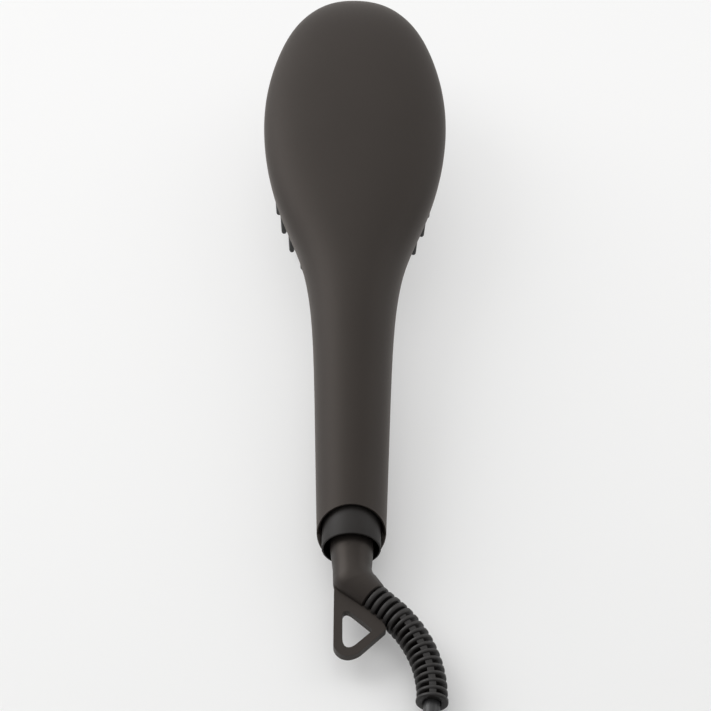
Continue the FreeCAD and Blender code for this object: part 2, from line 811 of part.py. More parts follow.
def comb_block(name, inset, depth, start):
    """The front of the head as a closed solid: side walls rolled under to a flat face at a depth."""
    roll = size.edge_roll - inset
    walls = []
    for side in (1, -1):
        rim, corner, face = [], [], []
        for half_width, place, _, _ in stations(-1, inset):
            rim.append(Vector(side * half_width, place, 0))
            corner.append(Vector(side * half_width, place, -depth))
            drawn_in = roll if place > body_length - size.edge_roll else 0
            face.append(Vector(side * max(half_width - roll, 0), place - drawn_in, -depth))
        spans = len(rim) - 3
        skin = Part.BSplineSurface()
        skin.buildFromPolesMultsKnots(
            [rim, corner, face], [3, 3], [4] + [1] * (spans - 1) + [4], [0, 1], list(range(spans + 1)),
            False, False, 2, 3, [[1] * len(rim), [ROUND_SHARE] * len(rim), [1] * len(rim)],
        )
        low, high = 0, spans
        for _ in range(60):
            middle = (low + high) / 2
            low, high = (middle, high) if skin.value(0, middle).y < start else (low, middle)
        skin.segment(0, 1, low, spans)
        walls.append(skin.toShape())
    return feature(name, capped(walls, (Vector(0, 0, 0), Vector(0, 0, -depth)), start))


def capped(walls, levels, start):
    """Close two walls with flat faces at two levels and across their start."""
    closeness = size.wall * CLOSENESS_SHARE
    lines, faces = [], list(walls)
    edges = [edge for wall in walls for edge in wall.Edges]

    def middle(edge):
        return edge.valueAt((edge.FirstParameter + edge.LastParameter) / 2)

    for level in levels:
        sides = [edge for edge in edges if abs(middle(edge).z - level.z) < closeness
                 and abs(middle(edge).x) > closeness]
        ends = [vertex.Point for edge in sides for vertex in edge.Vertexes
                if abs(vertex.Point.y - start) < closeness]
        line = Part.LineSegment(ends[0], ends[1]).toShape()
        lines.append(line)
        faces.append(Part.Face(Part.Wire(Part.sortEdges(sides + [line])[0])))
    arcs = [edge for edge in edges if abs(middle(edge).y - start) < closeness]
    faces.append(Part.Face(Part.Wire(Part.sortEdges(arcs + lines)[0])))
    shell = Part.Shell(faces)
    shell.sewShape()
    solid = Part.Solid(shell)
    if solid.Volume < 0:
        solid.reverse()
    return solid


def make_comb_base():
    depth = "2 * sizes.case_depth"
    start = size.handle_length + size.seam_gap
    solid = comb_block("comb_solid", 0, size.face_depth, start)
    hollow = comb_block("comb_hollow", size.wall, -floor_top, start)
    raw = cut("comb_raw", solid, [hollow])
    pillars, holes = [], []
    for i, spot in enumerate(COMB_SCREW_SPOTS):
        pillars.append(post(f"comb_pillar_{i}", "places.pillar_radius", "sizes.face_depth",
                            y=spot, z="-sizes.face_depth"))
        holes.append(post(f"comb_hole_{i}", "sizes.screw_radius + sizes.screw_clearance",
                          "sizes.head_seat_depth + sizes.overrun", y=spot, z="places.head_seat"))
        holes.append(post(f"comb_sink_{i}", "sizes.screw_head_radius + sizes.screw_clearance",
                          f"{depth} + places.head_seat", y=spot, z=f"-({depth})"))
    joined = fuse("comb_joined", [raw] + pillars)
    holes.append(oval("comb_window", "places.plate_half_width + sizes.plate_clearance",
                      "places.plate_half_length + sizes.plate_clearance",
                      "sizes.face_depth + sizes.overrun", "-sizes.face_depth - sizes.overrun / 2"))
    socket = post("pin_socket_tool", "sizes.guard_pin_radius + sizes.pin_clearance",
                  "sizes.pin_socket + sizes.overrun", z="places.pin_base - sizes.pin_socket - sizes.overrun")
    holes.append(copies("pin_sockets", socket, guard_places()))
    return keep(cut("comb_base", joined, holes))


def make_guard_pins():
    master = turned("guard_pin", "XZ_Plane", [
        ("0", "places.pin_base"),
        ("sizes.guard_pin_radius", "places.pin_base"),
        ("sizes.guard_pin_radius", "-sizes.face_depth"),
        ("sizes.guard_tip_radius", "places.pin_tip + sizes.guard_tip_radius"),
        (f"sizes.guard_tip_radius * {ROUND_SHARE}",
         f"places.pin_tip + sizes.guard_tip_radius * {1 - ROUND_SHARE}"),
        ("0", "places.pin_tip"),
    ])
    return keep(copies("guard_pins", master, guard_places()))


def make_heater_plate():
    lip = oval("plate_lip", "places.plate_half_width + sizes.plate_lip",
               "places.plate_half_length + sizes.plate_lip", "sizes.plate_lip_thickness", "places.floor_top")
    field = oval("plate_field", "places.plate_half_width", "places.plate_half_length",
                 "places.plate_back - places.plate_face", "places.plate_face")
    bosses, bores = [], []
    for i, side in enumerate(("-", "+")):
        spot = f"places.head_centre {side} places.clamp_boss_reach"
        bosses.append(post(f"plate_boss_{i}", "sizes.clamp_boss_radius",
                           "places.insulation_back - places.plate_back", y=spot, z="places.plate_back"))
        bores.append(post(f"plate_bore_{i}", "sizes.screw_radius + sizes.thread_clearance",
                          "sizes.heater_thickness + sizes.insulation_thickness + sizes.overrun",
                          y=spot, z="places.plate_back"))
    joined = fuse("plate_joined", [lip, field] + bosses)
    socket = post("tooth_socket_tool", "sizes.tooth_radius + sizes.pin_clearance",
                  "sizes.tooth_socket + sizes.overrun", z="places.plate_face - sizes.overrun")
    return keep(cut("heater_plate", joined, bores + [copies("tooth_sockets", socket, tooth_places())]))


def make_teeth():
    tip = "places.tooth_end"
    tooth = turned("heated_tooth", "XZ_Plane", [
        ("0", "places.tooth_base"),
        ("sizes.tooth_radius", "places.tooth_base"),
        ("sizes.tooth_radius", "places.plate_face"),
        ("sizes.tooth_tip_radius", f"{tip} + sizes.cap_socket"),
        ("sizes.tooth_tip_radius", tip),
        ("0", tip),
    ])
    inside = "sizes.tooth_tip_radius + sizes.pin_clearance"
    end = f"{tip} - sizes.cap_length + sizes.cap_socket"
    cap = turned("tooth_cap", "XZ_Plane", [
        ("0", f"{tip} - sizes.pin_clearance"),
        (inside, f"{tip} - sizes.pin_clearance"),
        (inside, f"{tip} + sizes.cap_socket - sizes.pin_clearance"),
        ("sizes.cap_radius", f"{tip} + sizes.cap_socket - sizes.pin_clearance"),
        ("sizes.cap_radius", f"{end} + sizes.cap_radius"),
        (f"sizes.cap_radius * {ROUND_SHARE}", f"{end} + sizes.cap_radius * {1 - ROUND_SHARE}"),
        ("0", end),
    ])
    keep(copies("heated_teeth", tooth, tooth_places()))
    keep(copies("tooth_caps", cap, tooth_places()))


def make_heater_stack():
    keep(box("heater_element", "sizes.heater_width", "places.heater_length", "sizes.heater_thickness",
             y="places.head_centre", z="places.plate_back"))
    keep(box("insulation_sheet", "sizes.heater_width + 2 * sizes.insulation_margin",
             "places.heater_length + 2 * sizes.insulation_margin", "sizes.insulation_thickness",
             y="places.head_centre", z="places.heater_back"))
    ends = "2 * (places.clamp_boss_reach + sizes.clamp_boss_radius)"
    plate = box("clamp_blank", "sizes.clamp_width", ends, "sizes.clamp_thickness",
                y="places.head_centre", z="places.insulation_back")
    holes = []
    for i, side in enumerate(("-", "+")):
        holes.append(post(f"clamp_hole_{i}", "sizes.screw_radius + sizes.screw_clearance",
                          "2 * sizes.overrun", y=f"places.head_centre {side} places.clamp_boss_reach",
                          z="places.insulation_back - sizes.overrun"))
    keep(cut("heater_clamp", plate, holes))
    head = "places.insulation_back + sizes.clamp_thickness"
    screw = turned("clamp_screw", "XZ_Plane", [
        ("0", "places.plate_back"),
        ("sizes.screw_radius", "places.plate_back"),
        ("sizes.screw_radius", head),
        ("sizes.screw_head_radius", head),
        ("sizes.screw_head_radius", f"{head} + sizes.screw_head_height"),
        ("0", f"{head} + sizes.screw_head_height"),
    ])
    spots = [Vector(0, head_centre + side * clamp_boss_reach, 0) for side in (-1, 1)]
    keep(copies("clamp_screws", screw, spots))
    for name, stem, side in (("temperature_sensor", "sensor", 1), ("thermal_cutoff", "cutoff", -1)):
        item = doc.addObject("Part::Cylinder", name)
        sign = "" if side > 0 else "-"
        beside = "sizes.heater_width / 2 + sizes.insulation_margin + sizes.sensor_gap"
        bind(item, Radius=f"sizes.{stem}_radius", Height=f"sizes.{stem}_length")
        item.Placement = Placement(Vector(), Rotation(Vector(1, 0, 0), -90))
        bind(item, Placement_Base_x=f"{sign}({beside} + sizes.{stem}_radius)",
             Placement_Base_y=f"places.head_centre - sizes.{stem}_length / 2",
             Placement_Base_z=f"places.plate_back + sizes.{stem}_radius + sizes.pin_clearance")
        keep(item)


def make_case_screws():
    seat = "places.head_seat"
    screw = turned("case_screw", "XZ_Plane", [
        ("0", f"{seat} - sizes.screw_head_height"),
        ("sizes.screw_head_radius", f"{seat} - sizes.screw_head_height"),
        ("sizes.screw_head_radius", seat),
        ("sizes.screw_radius", seat),
        ("sizes.screw_radius", "sizes.screw_grip"),
        ("0", "sizes.screw_grip"),
    ])
    keep(copies("handle_screws", screw, [Vector(0, place, 0) for place in handle_screw_places]))
    spots = [Vector(0, head_centre + side * comb_screw_reach, 0) for side in (-1, 1)]
    keep(copies("comb_screws", screw, spots))


def make_board():
    blank = box("board_blank", "sizes.board_width", "places.board_length", "sizes.board_thickness",
                y="places.board_middle", z="places.board_under")
    inset = size.board_width / 2 - size.post_inset
    ends = (size.board_start + size.post_inset, size.board_start + board_length - size.post_inset)
    spots = [Vector(inset, ends[0], 0), Vector(-inset, ends[1], 0)]
    hole = post("board_hole", "sizes.screw_radius + sizes.screw_clearance", "2 * sizes.overrun",
                z="places.board_under - sizes.overrun")
    keep(cut("control_board", blank, [copies("board_holes", hole, spots)]))
    screw = turned("board_screw", "XZ_Plane", [
        ("0", "places.board_under - sizes.board_screw_grip"),
        ("sizes.screw_radius", "places.board_under - sizes.board_screw_grip"),
        ("sizes.screw_radius", "places.board_top"),
        ("sizes.screw_head_radius", "places.board_top"),
        ("sizes.screw_head_radius", "places.board_top + sizes.screw_head_height"),
        ("0", "places.board_top + sizes.screw_head_height"),
    ])
    keep(copies("board_screws", screw, spots))
    body = box("switch_block", "sizes.switch_side", "sizes.switch_side", "sizes.switch_height",
               z="places.switch_under")
    well = post("switch_well_tool", "sizes.plunger_radius + sizes.button_clearance",
                "sizes.switch_well + sizes.overrun", z="places.switch_under - sizes.overrun")
    switch = cut("tact_switch", body, [well])
    keep(copies("tact_switches", switch, [Vector(0, place, 0) for place in button_places.values()]))
    keep(box("display_module", "sizes.display_width", "places.display_length", "sizes.display_height",
             y="places.display_place", z="places.board_under - sizes.display_height"))


def make_buttons():
    seat = "-sizes.pad_drop"
    flange = "places.button_radius + sizes.button_flange"
    top = f"{seat} + sizes.button_flange_thickness"
    for name in BUTTON_SHARES:
        face = f"places.{name}_face"
        button = turned(f"{name}_button", "XZ_Plane", [
            ("0", face),
            ("places.button_radius - sizes.button_edge", face),
            ("places.button_radius", f"{face} + sizes.button_edge"),
            ("places.button_radius", seat),
            (flange, seat),
            (flange, top),
            ("sizes.button_stem_radius", top),
            ("sizes.button_stem_radius", "places.plunger_end"),
            ("0", "places.plunger_end"),
        ])
        bind(button, Placement_Base_y=f"places.{name}_place")
        keep(button)
        keep(post(f"{name}_plunger", "sizes.plunger_radius", "sizes.plunger_reach",
                  y=f"places.{name}_place", z="places.plunger_end"))


def make_collar():
    groove = "places.tail_radius - sizes.key_depth"
    groove_start = "sizes.collar_length + sizes.key_place"
    groove_end = f"{groove_start} + sizes.key_width + 2 * sizes.key_clearance"
    bore = "sizes.spindle_radius + sizes.spindle_clearance"
    return keep(turned("swivel_collar", "XY_Plane", [
        ("places.collar_radius", "0"),
        ("places.collar_radius", "sizes.collar_length"),
        ("places.tail_radius", "sizes.collar_length"),
        ("places.tail_radius", groove_start),
        (groove, groove_start),
        (groove, groove_end),
        ("places.tail_radius", groove_end),
        ("places.tail_radius", "places.tail_end"),
        ("places.chamber_radius", "places.tail_end"),
        ("places.chamber_radius", "places.web_inner"),
        (bore, "places.web_inner"),
        (bore, "sizes.recess_depth"),
        ("places.recess_radius", "sizes.recess_depth"),
        ("places.recess_radius", "0"),
    ]))


def make_contacts():
    cup = turned("carrier_blank", "XY_Plane", [
        ("places.carrier_bore", "places.carrier_start"),
        ("places.tail_radius", "places.carrier_start"),
        ("places.tail_radius", "places.carrier_stop"),
        ("0", "places.carrier_stop"),
        ("0", "places.carrier_stop - sizes.carrier_end"),
        ("places.carrier_bore", "places.carrier_stop - sizes.carrier_end"),
    ])
    blades, slots = [], []
    level = size.ring_radius + size.ring_clearance
    reach = math.sqrt(carrier_bore**2 - level**2) + size.spring_bite
    for side, start in zip((1, -1), ring_starts):
        middle = start + size.ring_width / 2
        low = level if side > 0 else -level - size.spring_thickness
        corner = Vector(-reach, middle - size.spring_width / 2, low)
        room = size.spring_clearance
        blades.append(Part.makeBox(2 * reach, size.spring_width, size.spring_thickness, corner))
        slots.append(Part.makeBox(2 * (reach + room), size.spring_width + 2 * room,
                                  size.spring_thickness + 2 * room, corner - Vector(room, room, room)))
    slot_tool = feature("carrier_slots", Part.makeCompound(slots))
    keep(cut("contact_carrier", cup, [slot_tool]))
    keep(feature("contact_springs", Part.makeCompound(blades)))


def make_spindle():
    keep(turned("swivel_spindle", "XY_Plane", [
        ("0", "places.spigot_start"),
        ("sizes.spindle_radius", "places.spigot_start"),
        ("sizes.spindle_radius", "places.clip_start"),
        ("sizes.spindle_radius - sizes.clip_groove", "places.clip_start"),
        ("sizes.spindle_radius - sizes.clip_groove", "places.clip_end"),
        ("sizes.spindle_radius", "places.clip_end"),
        ("sizes.spindle_radius", "places.shoulder_end"),
        ("sizes.core_radius", "places.shoulder_end"),
        ("sizes.core_radius", "places.spindle_end"),
        ("0", "places.spindle_end"),
    ]))
    inner = "sizes.spindle_radius - sizes.clip_groove + sizes.ring_clearance"
    keep(turned("swivel_clip", "XY_Plane", [
        (inner, "places.clip_start + sizes.ring_clearance"),
        ("places.clip_radius", "places.clip_start + sizes.ring_clearance"),
        ("places.clip_radius", "places.clip_end - sizes.ring_clearance"),
        (inner, "places.clip_end - sizes.ring_clearance"),
    ]))
    ring = turned("slip_ring", "XY_Plane", [
        ("sizes.core_radius + sizes.ring_clearance", "0"),
        ("sizes.ring_radius", "0"),
        ("sizes.ring_radius", "sizes.ring_width"),
        ("sizes.core_radius + sizes.ring_clearance", "sizes.ring_width"),
    ])
    keep(copies("slip_rings", ring, [Vector(0, start, 0) for start in ring_starts]))


# The cord boot: its centre line leaves the handle straight, turns aside and then back
boot_turn = math.radians(size.boot_angle)
aside = Vector(math.sin(boot_turn), -math.cos(boot_turn), 0)
boot_corner = Vector(0, -size.neck_reach, 0)
sleeve_start = boot_corner + aside * size.shank_length
sleeve_length = RIB_COUNT * size.rib_pitch
sleeve_turn = boot_corner + aside * (size.shank_length + size.sleeve_straight)
arc_length = size.sleeve_bend_radius * boot_turn
tail_straight = sleeve_length - size.sleeve_straight - arc_length


def sleeve_point(distance):
    """Point and direction on the sleeve's centre line, by distance from its start."""
    if distance <= size.sleeve_straight:
        return sleeve_start + aside * distance, aside
    turned_by = min((distance - size.sleeve_straight) / size.sleeve_bend_radius, boot_turn)
    angle = boot_turn - turned_by
    direction = Vector(math.sin(angle), -math.cos(angle), 0)
    across = size.sleeve_bend_radius * (math.cos(angle) - math.cos(boot_turn))
    along = size.sleeve_bend_radius * (math.sin(boot_turn) - math.sin(angle))
    beyond = max(distance - size.sleeve_straight - arc_length, 0)
    return sleeve_turn + Vector(across, -along, 0) + direction * beyond, direction


def sleeve_path(first, last):
    """The sleeve's centre line between two distances, as a wire."""
    stops = [first]
    for stop in (size.sleeve_straight, size.sleeve_straight + arc_length):
        if first < stop < last:
            stops.append(stop)
    stops.append(last)
    edges = []
    for start, stop in zip(stops, stops[1:]):
        middle = (start + stop) / 2
        points = [sleeve_point(distance)[0] for distance in (start, middle, stop)]
        if size.sleeve_straight <= middle <= size.sleeve_straight + arc_length:
            edges.append(Part.Arc(*points).toShape())
        else:
            edges.append(Part.LineSegment(points[0], points[2]).toShape())
    return Part.Wire(edges)


def disc(distance, width, radius):
    """A round slice of the sleeve about a distance along it."""
    point, direction = sleeve_point(distance)
    return Part.makeCylinder(radius, width, point - direction * (width / 2), direction)


def rounded_plate(corners, radii, thickness):
    """A flat plate of an outline with rounded corners, half its thickness to each side of z = 0."""
    edges = []
    count = len(corners)
    ends = []
    for i, corner in enumerate(corners):
        before, after = corners[i - 1], corners[(i + 1) % count]
        into, out = (corner - before).normalize(), (after - corner).normalize()
        reach = radii[i] * math.tan(into.getAngle(out) / 2)
        ends.append((corner - into * reach, corner + out * reach))
    for i, corner in enumerate(corners):
        first, last = ends[i]
        if radii[i]:
            edges.append(corner_arc(first, corner, last))
        edges.append(Part.LineSegment(last, ends[(i + 1) % count][0]).toShape())
    face = Part.Face(Part.Wire(edges))
    face.translate(Vector(0, 0, -thickness / 2))
    return face.extrude(Vector(0, 0, thickness))


def loop_corners():
    """Corners of the hanging loop: down the neck's side, round the foot and up to the sleeve."""
    left = -size.neck_waist + size.loop_band * LOOP_TUCK_SHARE
    foot = -size.neck_reach - size.loop_depth
    return [
        Vector(left, -size.neck_taper, 0),
        Vector(left, foot, 0),
        Vector(left + size.loop_foot, foot, 0),
        Vector(size.loop_reach, foot + size.loop_rise, 0),
        sleeve_start,
        Vector(0, -size.neck_taper, 0),
    ]


def loop_hole_corners():
    """Corners of the three-cornered hole, a band inside the loop's edge."""
    corners = loop_corners()
    left = corners[0].x + size.loop_band
    top = corners[0].y - size.loop_hole_top
    foot = corners[1].y + size.loop_band
    slope = (corners[3] - corners[2]).normalize()
    reach = corners[3] - Vector(-slope.y, slope.x, 0) * -size.loop_band
    low = reach - slope * ((reach.x - left) / slope.x)
    tip = reach - slope * size.loop_band
    return [Vector(left, top, 0), Vector(left, max(low.y, foot), 0), tip]


def make_swivel_neck():
    bend_reach = size.neck_bend_radius * math.tan(boot_turn / 2)
    bend_start = -size.neck_reach + bend_reach
    bend_end = boot_corner + aside * bend_reach
    flare = Part.makeCone(size.neck_radius, size.neck_waist, size.neck_taper,
                          Vector(0, 0, 0), Vector(0, -1, 0))
    entry = Part.makeCylinder(size.neck_radius, size.neck_entry, Vector(0, 0, 0), Vector(0, 1, 0))
    straight = Part.makeCylinder(size.neck_waist, -bend_start - size.neck_taper,
                                 Vector(0, -size.neck_taper, 0), Vector(0, -1, 0))
    bend_edge = corner_arc(Vector(0, bend_start, 0), boot_corner, bend_end)
    bend = tube(Part.Wire(bend_edge), size.neck_waist)
    shank_reach = size.shank_length - bend_reach
    shank = Part.makeCone(size.neck_waist, size.shank_radius, shank_reach, bend_end, aside)
    plate_radii = (0, size.loop_corner, size.loop_corner, 0, 0, 0)
    plate = rounded_plate(loop_corners(), plate_radii, size.loop_thickness)
    hole = rounded_plate(loop_hole_corners(), (size.loop_hole_round,) * 3, 2 * size.loop_thickness)
    clear = tube(sleeve_path(0, sleeve_length), size.sleeve_radius + size.sleeve_clearance)
    plate = plate.cut([hole, clear])
    web = max(plate.Solids, key=lambda solid: solid.Volume)
    socket = Part.makeCylinder(size.spindle_radius + size.spigot_clearance, size.spigot_length,
                               Vector(0, spigot_start, 0), Vector(0, 1, 0))
    neck = entry.fuse([flare, straight, bend, shank, web]).cut(socket).removeSplitter()
    return keep(feature("swivel_neck", neck))


def make_sleeve():
    closed_length = CLOSED_RIB_COUNT * size.rib_pitch
    core = tube(sleeve_path(0, sleeve_length), size.sleeve_core_radius)
    closed = tube(sleeve_path(0, closed_length), size.sleeve_groove_radius)
    spine_height = 2 * (size.sleeve_radius - size.spine_cover)
    point, direction = sleeve_point(0)
    side = Vector(-direction.y, direction.x, 0)
    half = side * (size.spine_width / 2)
    up = Vector(0, 0, spine_height / 2)
    corners = [point + half + up, point - half + up, point - half - up, point + half - up]
    spine = swept(sleeve_path(0, sleeve_length), Part.makePolygon(corners + corners[:1]))
    ribs = [disc((i + 0.5) * size.rib_pitch, size.rib_width, size.sleeve_radius) for i in range(RIB_COUNT)]
    ends = [disc(size.rib_width / 2, size.rib_width, size.sleeve_radius),
            disc(sleeve_length - size.rib_width / 2, size.rib_width, size.sleeve_radius)]
    body = core.fuse([closed, spine] + ribs + ends)
    bore = tube(sleeve_path(0, sleeve_length), size.cord_radius + size.sleeve_clearance)
    keep(feature("strain_relief", body.cut(bore)))
    keep(feature("cord_core", tube(sleeve_path(0, sleeve_length), size.cord_radius)))


def make_wires():
    x = size.wire_offset
    lying = board_top + size.wire_radius
    lifted = lying + size.screw_head_height + size.screw_clearance
    board_end = size.board_start + board_length
    screw_room = 2 * size.post_inset + size.wire_radius
    heater_end = head_centre - heater_length / 2
    drop = plate_back + size.heater_thickness / 2
    supply, heater = [], []
    for side in (-1, 1):
        points = [Vector(side * x, carrier_stop, 0),
                  Vector(side * x, size.board_start, lifted),
                  Vector(side * x, size.board_start + screw_room, lifted),
                  Vector(side * x, size.board_start + screw_room + size.wire_bend, lying)]
        supply.append(tube(rounded_path(points)[0], size.wire_radius))
        points = [Vector(side * x, board_end - screw_room - size.wire_bend, lying),
                  Vector(side * x, board_end - screw_room, lifted),
                  Vector(side * x, size.handle_length, lifted),
                  Vector(side * x, heater_end - 2 * size.wire_bend, drop),
                  Vector(side * x, heater_end, drop)]
        heater.append(tube(rounded_path(points)[0], size.wire_radius))
    keep(feature("supply_wires", Part.makeCompound(supply)))
    keep(feature("heater_wires", Part.makeCompound(heater)))


make_back_shell()
make_handle_cover()
make_display_window()
make_comb_base()
make_guard_pins()
make_heater_plate()
make_teeth()
make_heater_stack()
make_case_screws()
make_board()
make_buttons()
make_collar()
make_contacts()
make_spindle()
make_swivel_neck()
make_sleeve()
make_wires()
doc.recompute()


# How the brush lies on the table
def lay_down():
    """Tip the brush onto its rear guard pins and centre it over the origin, standing on z = 0."""
    heel = end_corner()
    rear = min(guard_places(), key=lambda place: place.y)
    tilt = math.degrees(math.atan2(heel.z - pin_tip, rear.y - heel.y))
    turn = Rotation(Vector(1, 0, 0), tilt)
    for item in nodes.values():
        for bound, _ in item.ExpressionEngine:
            if "Placement" in bound:
                item.setExpression(bound, None)
        item.Placement = Placement(Vector(), turn).multiply(item.Placement)
    whole = Part.makeCompound([item.Shape for item in nodes.values()])
    bounds = whole.optimalBoundingBox(False, False)
    shift = Vector(-bounds.Center.x, -bounds.Center.y, -bounds.ZMin)
    for item in nodes.values():
        item.Placement = Placement(shift, Rotation()).multiply(item.Placement)
    print(f"tilt {tilt:.3f} shift {shift.x:.3f} {shift.y:.3f} {shift.z:.3f}")
    return Placement(shift, turn)


rest = lay_down()

# The mains lead, in the table's frame: a free stretch, the put-away coil and a tail to the plug
exit_point, exit_direction = sleeve_point(sleeve_length)
lead_start = rest.multVec(exit_point)
lead_turn = lead_start + rest.Rotation.multVec(exit_direction) * size.lead_straight
coil_low = size.cord_radius + size.tie_thickness + size.tie_clearance
coil_high = coil_low + size.coil_pitch
LEAD_ROUTE = [(29.3, -210.5, 4.1), (29.3, -229.0, 4.1)]
TAIL_ROUTE = [
    (25.4, -257.0, 10.3), (22.4, -273.5, 7.8), (19.7, -289.5, 6.85), (19.7, -305.0, 6.85),
]
climb_start = COIL_TURNS_IN
climb_end = COIL_TURNS_IN + CLIMB_TURNS
coil_turns = climb_end + COIL_TURNS_OUT
coil_inner_radius = size.coil_outer_radius - COIL_TURNS_IN * size.coil_pitch
coil_entry = Vector(*LEAD_ROUTE[-1])
coil_centre = coil_entry + Vector(-size.coil_outer_radius, -2 * size.cord_radius, -coil_entry.z)


def coil_point(turns):
    """A point of the coil: in along the lower layer, up a layer in half a turn, and out again."""
    if turns < climb_start:
        radius, level = size.coil_outer_radius - size.coil_pitch * turns, coil_low
    elif turns > climb_end:
        radius, level = coil_inner_radius + size.coil_pitch * (turns - climb_end), coil_high
    else:
        share = (1 - math.cos(math.pi * (turns - climb_start) / (climb_end - climb_start))) / 2
        drawn_in = min(turns - climb_start, climb_end - turns) * size.coil_pitch
        radius, level = coil_inner_radius - drawn_in, coil_low + share * size.coil_pitch
    angle = -2 * math.pi * turns
    return coil_centre + Vector(radius * math.cos(angle), radius * math.sin(angle), level)


def coil_direction(turns):
    """Direction of the coil; it starts and ends along the lead."""
    if turns in (0, coil_turns):
        return Vector(0, -1, 0)
    step_share = 0.001
    return (coil_point(turns + step_share) - coil_point(turns - step_share)).normalize()


def coil_gap():
    """Least gap between turns of the coil, measured on points."""
    points = [coil_point(i / COIL_GAP_POINTS) for i in range(int(coil_turns * COIL_GAP_POINTS) + 1)]
    least = size.coil_outer_radius
    for i, point in enumerate(points):
        for other in points[i + COIL_GAP_POINTS // 2:]:
            least = min(least, (other - point).Length)
    return least - 2 * size.cord_radius


def make_coil():
    quarters = [i / 4 for i in range(int(coil_turns * 4) + 1)]
    edges = [Part.LineSegment(coil_entry, coil_point(0)).toShape()]
    for start, stop in zip(quarters, quarters[1:]):
        edges += biarc(coil_point(start), coil_direction(start), coil_point(stop), coil_direction(stop))
    end = coil_point(coil_turns)
    beyond = end + coil_direction(coil_turns) * (2 * size.cord_radius)
    edges.append(Part.LineSegment(end, beyond).toShape())
    keep_cord(feature("cord_coil", tube(Part.Wire(edges), size.cord_radius)))
    print(f"coil gap {coil_gap():.2f}")
    return beyond


def make_free_stretch(name, points):
    path, radii = rounded_path(points)
    keep_cord(feature(name, tube(path, size.cord_radius)))
    section = math.pi * size.cord_radius**2
    print(name, "radii", [round(radius) for radius in radii],
          f"volume share {cord_nodes[name].Shape.Volume / (section * path.Length):.4f}")


def make_tie():
    """A band round all the turns on the far side of the coil."""
    half = size.tie_width / 2
    drift = size.coil_pitch / 8
    near = math.sqrt((coil_inner_radius - drift - size.cord_radius) ** 2 - half**2) - size.tie_clearance
    far = coil_point(0.5).x - coil_centre.x
    far = abs(far) + drift + size.cord_radius + size.tie_clearance
    low, high = size.tie_thickness, coil_high + size.cord_radius + size.tie_clearance
    inner = Part.makeBox(far - near, 2 * size.tie_width, high - low,
                         Vector(coil_centre.x - far, coil_centre.y - size.tie_width, low))
    room = size.tie_thickness
    outer = Part.makeBox(far - near + 2 * room, size.tie_width, high - low + 2 * room,
                         Vector(coil_centre.x - far - room, coil_centre.y - half, 0))
    along = [edge for edge in outer.Edges if edge.BoundBox.YLength > half]
    keep_cord(feature("cord_tie", outer.makeFillet(room, along).cut(inner)))


def plug_section(x, width, thickness):
    """An upright rounded section of the plug."""
    radius = thickness * PLUG_ROUND_SHARE
    across, up = width / 2, thickness / 2
    corners = [(-across, -up), (across, -up), (across, up), (-across, up)]
    edges, ends = [], []
    for i, corner in enumerate(corners):
        point = Vector(x, *corner)
        into = (Vector(x, *corners[i - 1]) - point).normalize() * radius
        out = (Vector(x, *corners[(i + 1) % 4]) - point).normalize() * radius
        ends.append((point + into, point, point + out))
    for i, (first, point, last) in enumerate(ends):
        edges.append(corner_arc(first, point, last))
        edges.append(Part.LineSegment(last, ends[(i + 1) % 4][0]).toShape())
    return Part.Wire(edges)


def make_plug():
    """A flat two-pin plug lying on the table, in line with the end of the tail that its relief meets."""
    end = Vector(*TAIL_ROUTE[-1])
    heading = end - Vector(*TAIL_ROUTE[-2])
    heading.z = 0
    end.z = size.plug_thickness / 2
    place = Placement(end, Rotation(Vector(-1, 0, 0), heading))
    back = -size.plug_relief_length
    front = back - size.plug_length
    sections = []
    for along, widening, height in zip(PLUG_STATION_SHARES, PLUG_WIDTH_SHARES, PLUG_HEIGHT_SHARES):
        width = size.plug_neck_width + widening * (size.plug_width - size.plug_neck_width)
        sections.append(plug_section(front + along * size.plug_length, width, height * size.plug_thickness))
    body = Part.makeLoft(sections, True)
    relief = Part.makeCone(size.plug_relief_tip_radius, size.plug_relief_radius, size.plug_relief_length,
                           Vector(0, 0, 0), Vector(-1, 0, 0))
    whole = body.fuse(relief)
    whole.Placement = place
    keep_cord(feature("plug_body", whole))
    pins = []
    for side in (-1, 1):
        root = Vector(front, side * size.plug_pin_spacing / 2, 0)
        pin = Part.makeCylinder(size.plug_pin_radius, size.plug_pin_length, root, Vector(-1, 0, 0))
        far_end = root.x - size.plug_pin_length + size.wall * CLOSENESS_SHARE
        tip = [edge for edge in pin.Edges if edge.BoundBox.XMax < far_end]
        pins.append(pin.makeFillet(size.plug_pin_radius * PIN_ROUND_SHARE, tip))
    pair = Part.makeCompound(pins)
    pair.Placement = place
    keep_cord(feature("plug_pins", pair))


coil_exit = make_coil()
make_free_stretch("cord_lead", [lead_start, lead_turn] + [Vector(*point) for point in LEAD_ROUTE])
make_free_stretch("cord_tail", [coil_exit] + [Vector(*point) for point in TAIL_ROUTE])
make_tie()
make_plug()
doc.recompute()

for item in doc.Objects:
    if "Invalid" in item.State or "Error" in item.State:
        raise RuntimeError(f"{item.Label} did not build: {item.State}")
for label, item in {**nodes, **cord_nodes}.items():
    if item.Shape.isNull() or not item.Shape.isValid():
        raise RuntimeError(f"{label} has no valid shape")

os.makedirs("parts", exist_ok=True)
for label, item in {**nodes, **cord_nodes}.items():
    item.Shape.exportStep(os.path.join("parts", label + ".step"))
print(f"{len(nodes) + len(cord_nodes)} sub-parts")
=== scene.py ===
"""The heated styling brush on a white table: its camera, light, finishes and modelled pieces."""
import json
import math

import bmesh
import bpy
from mathutils import Matrix, Vector


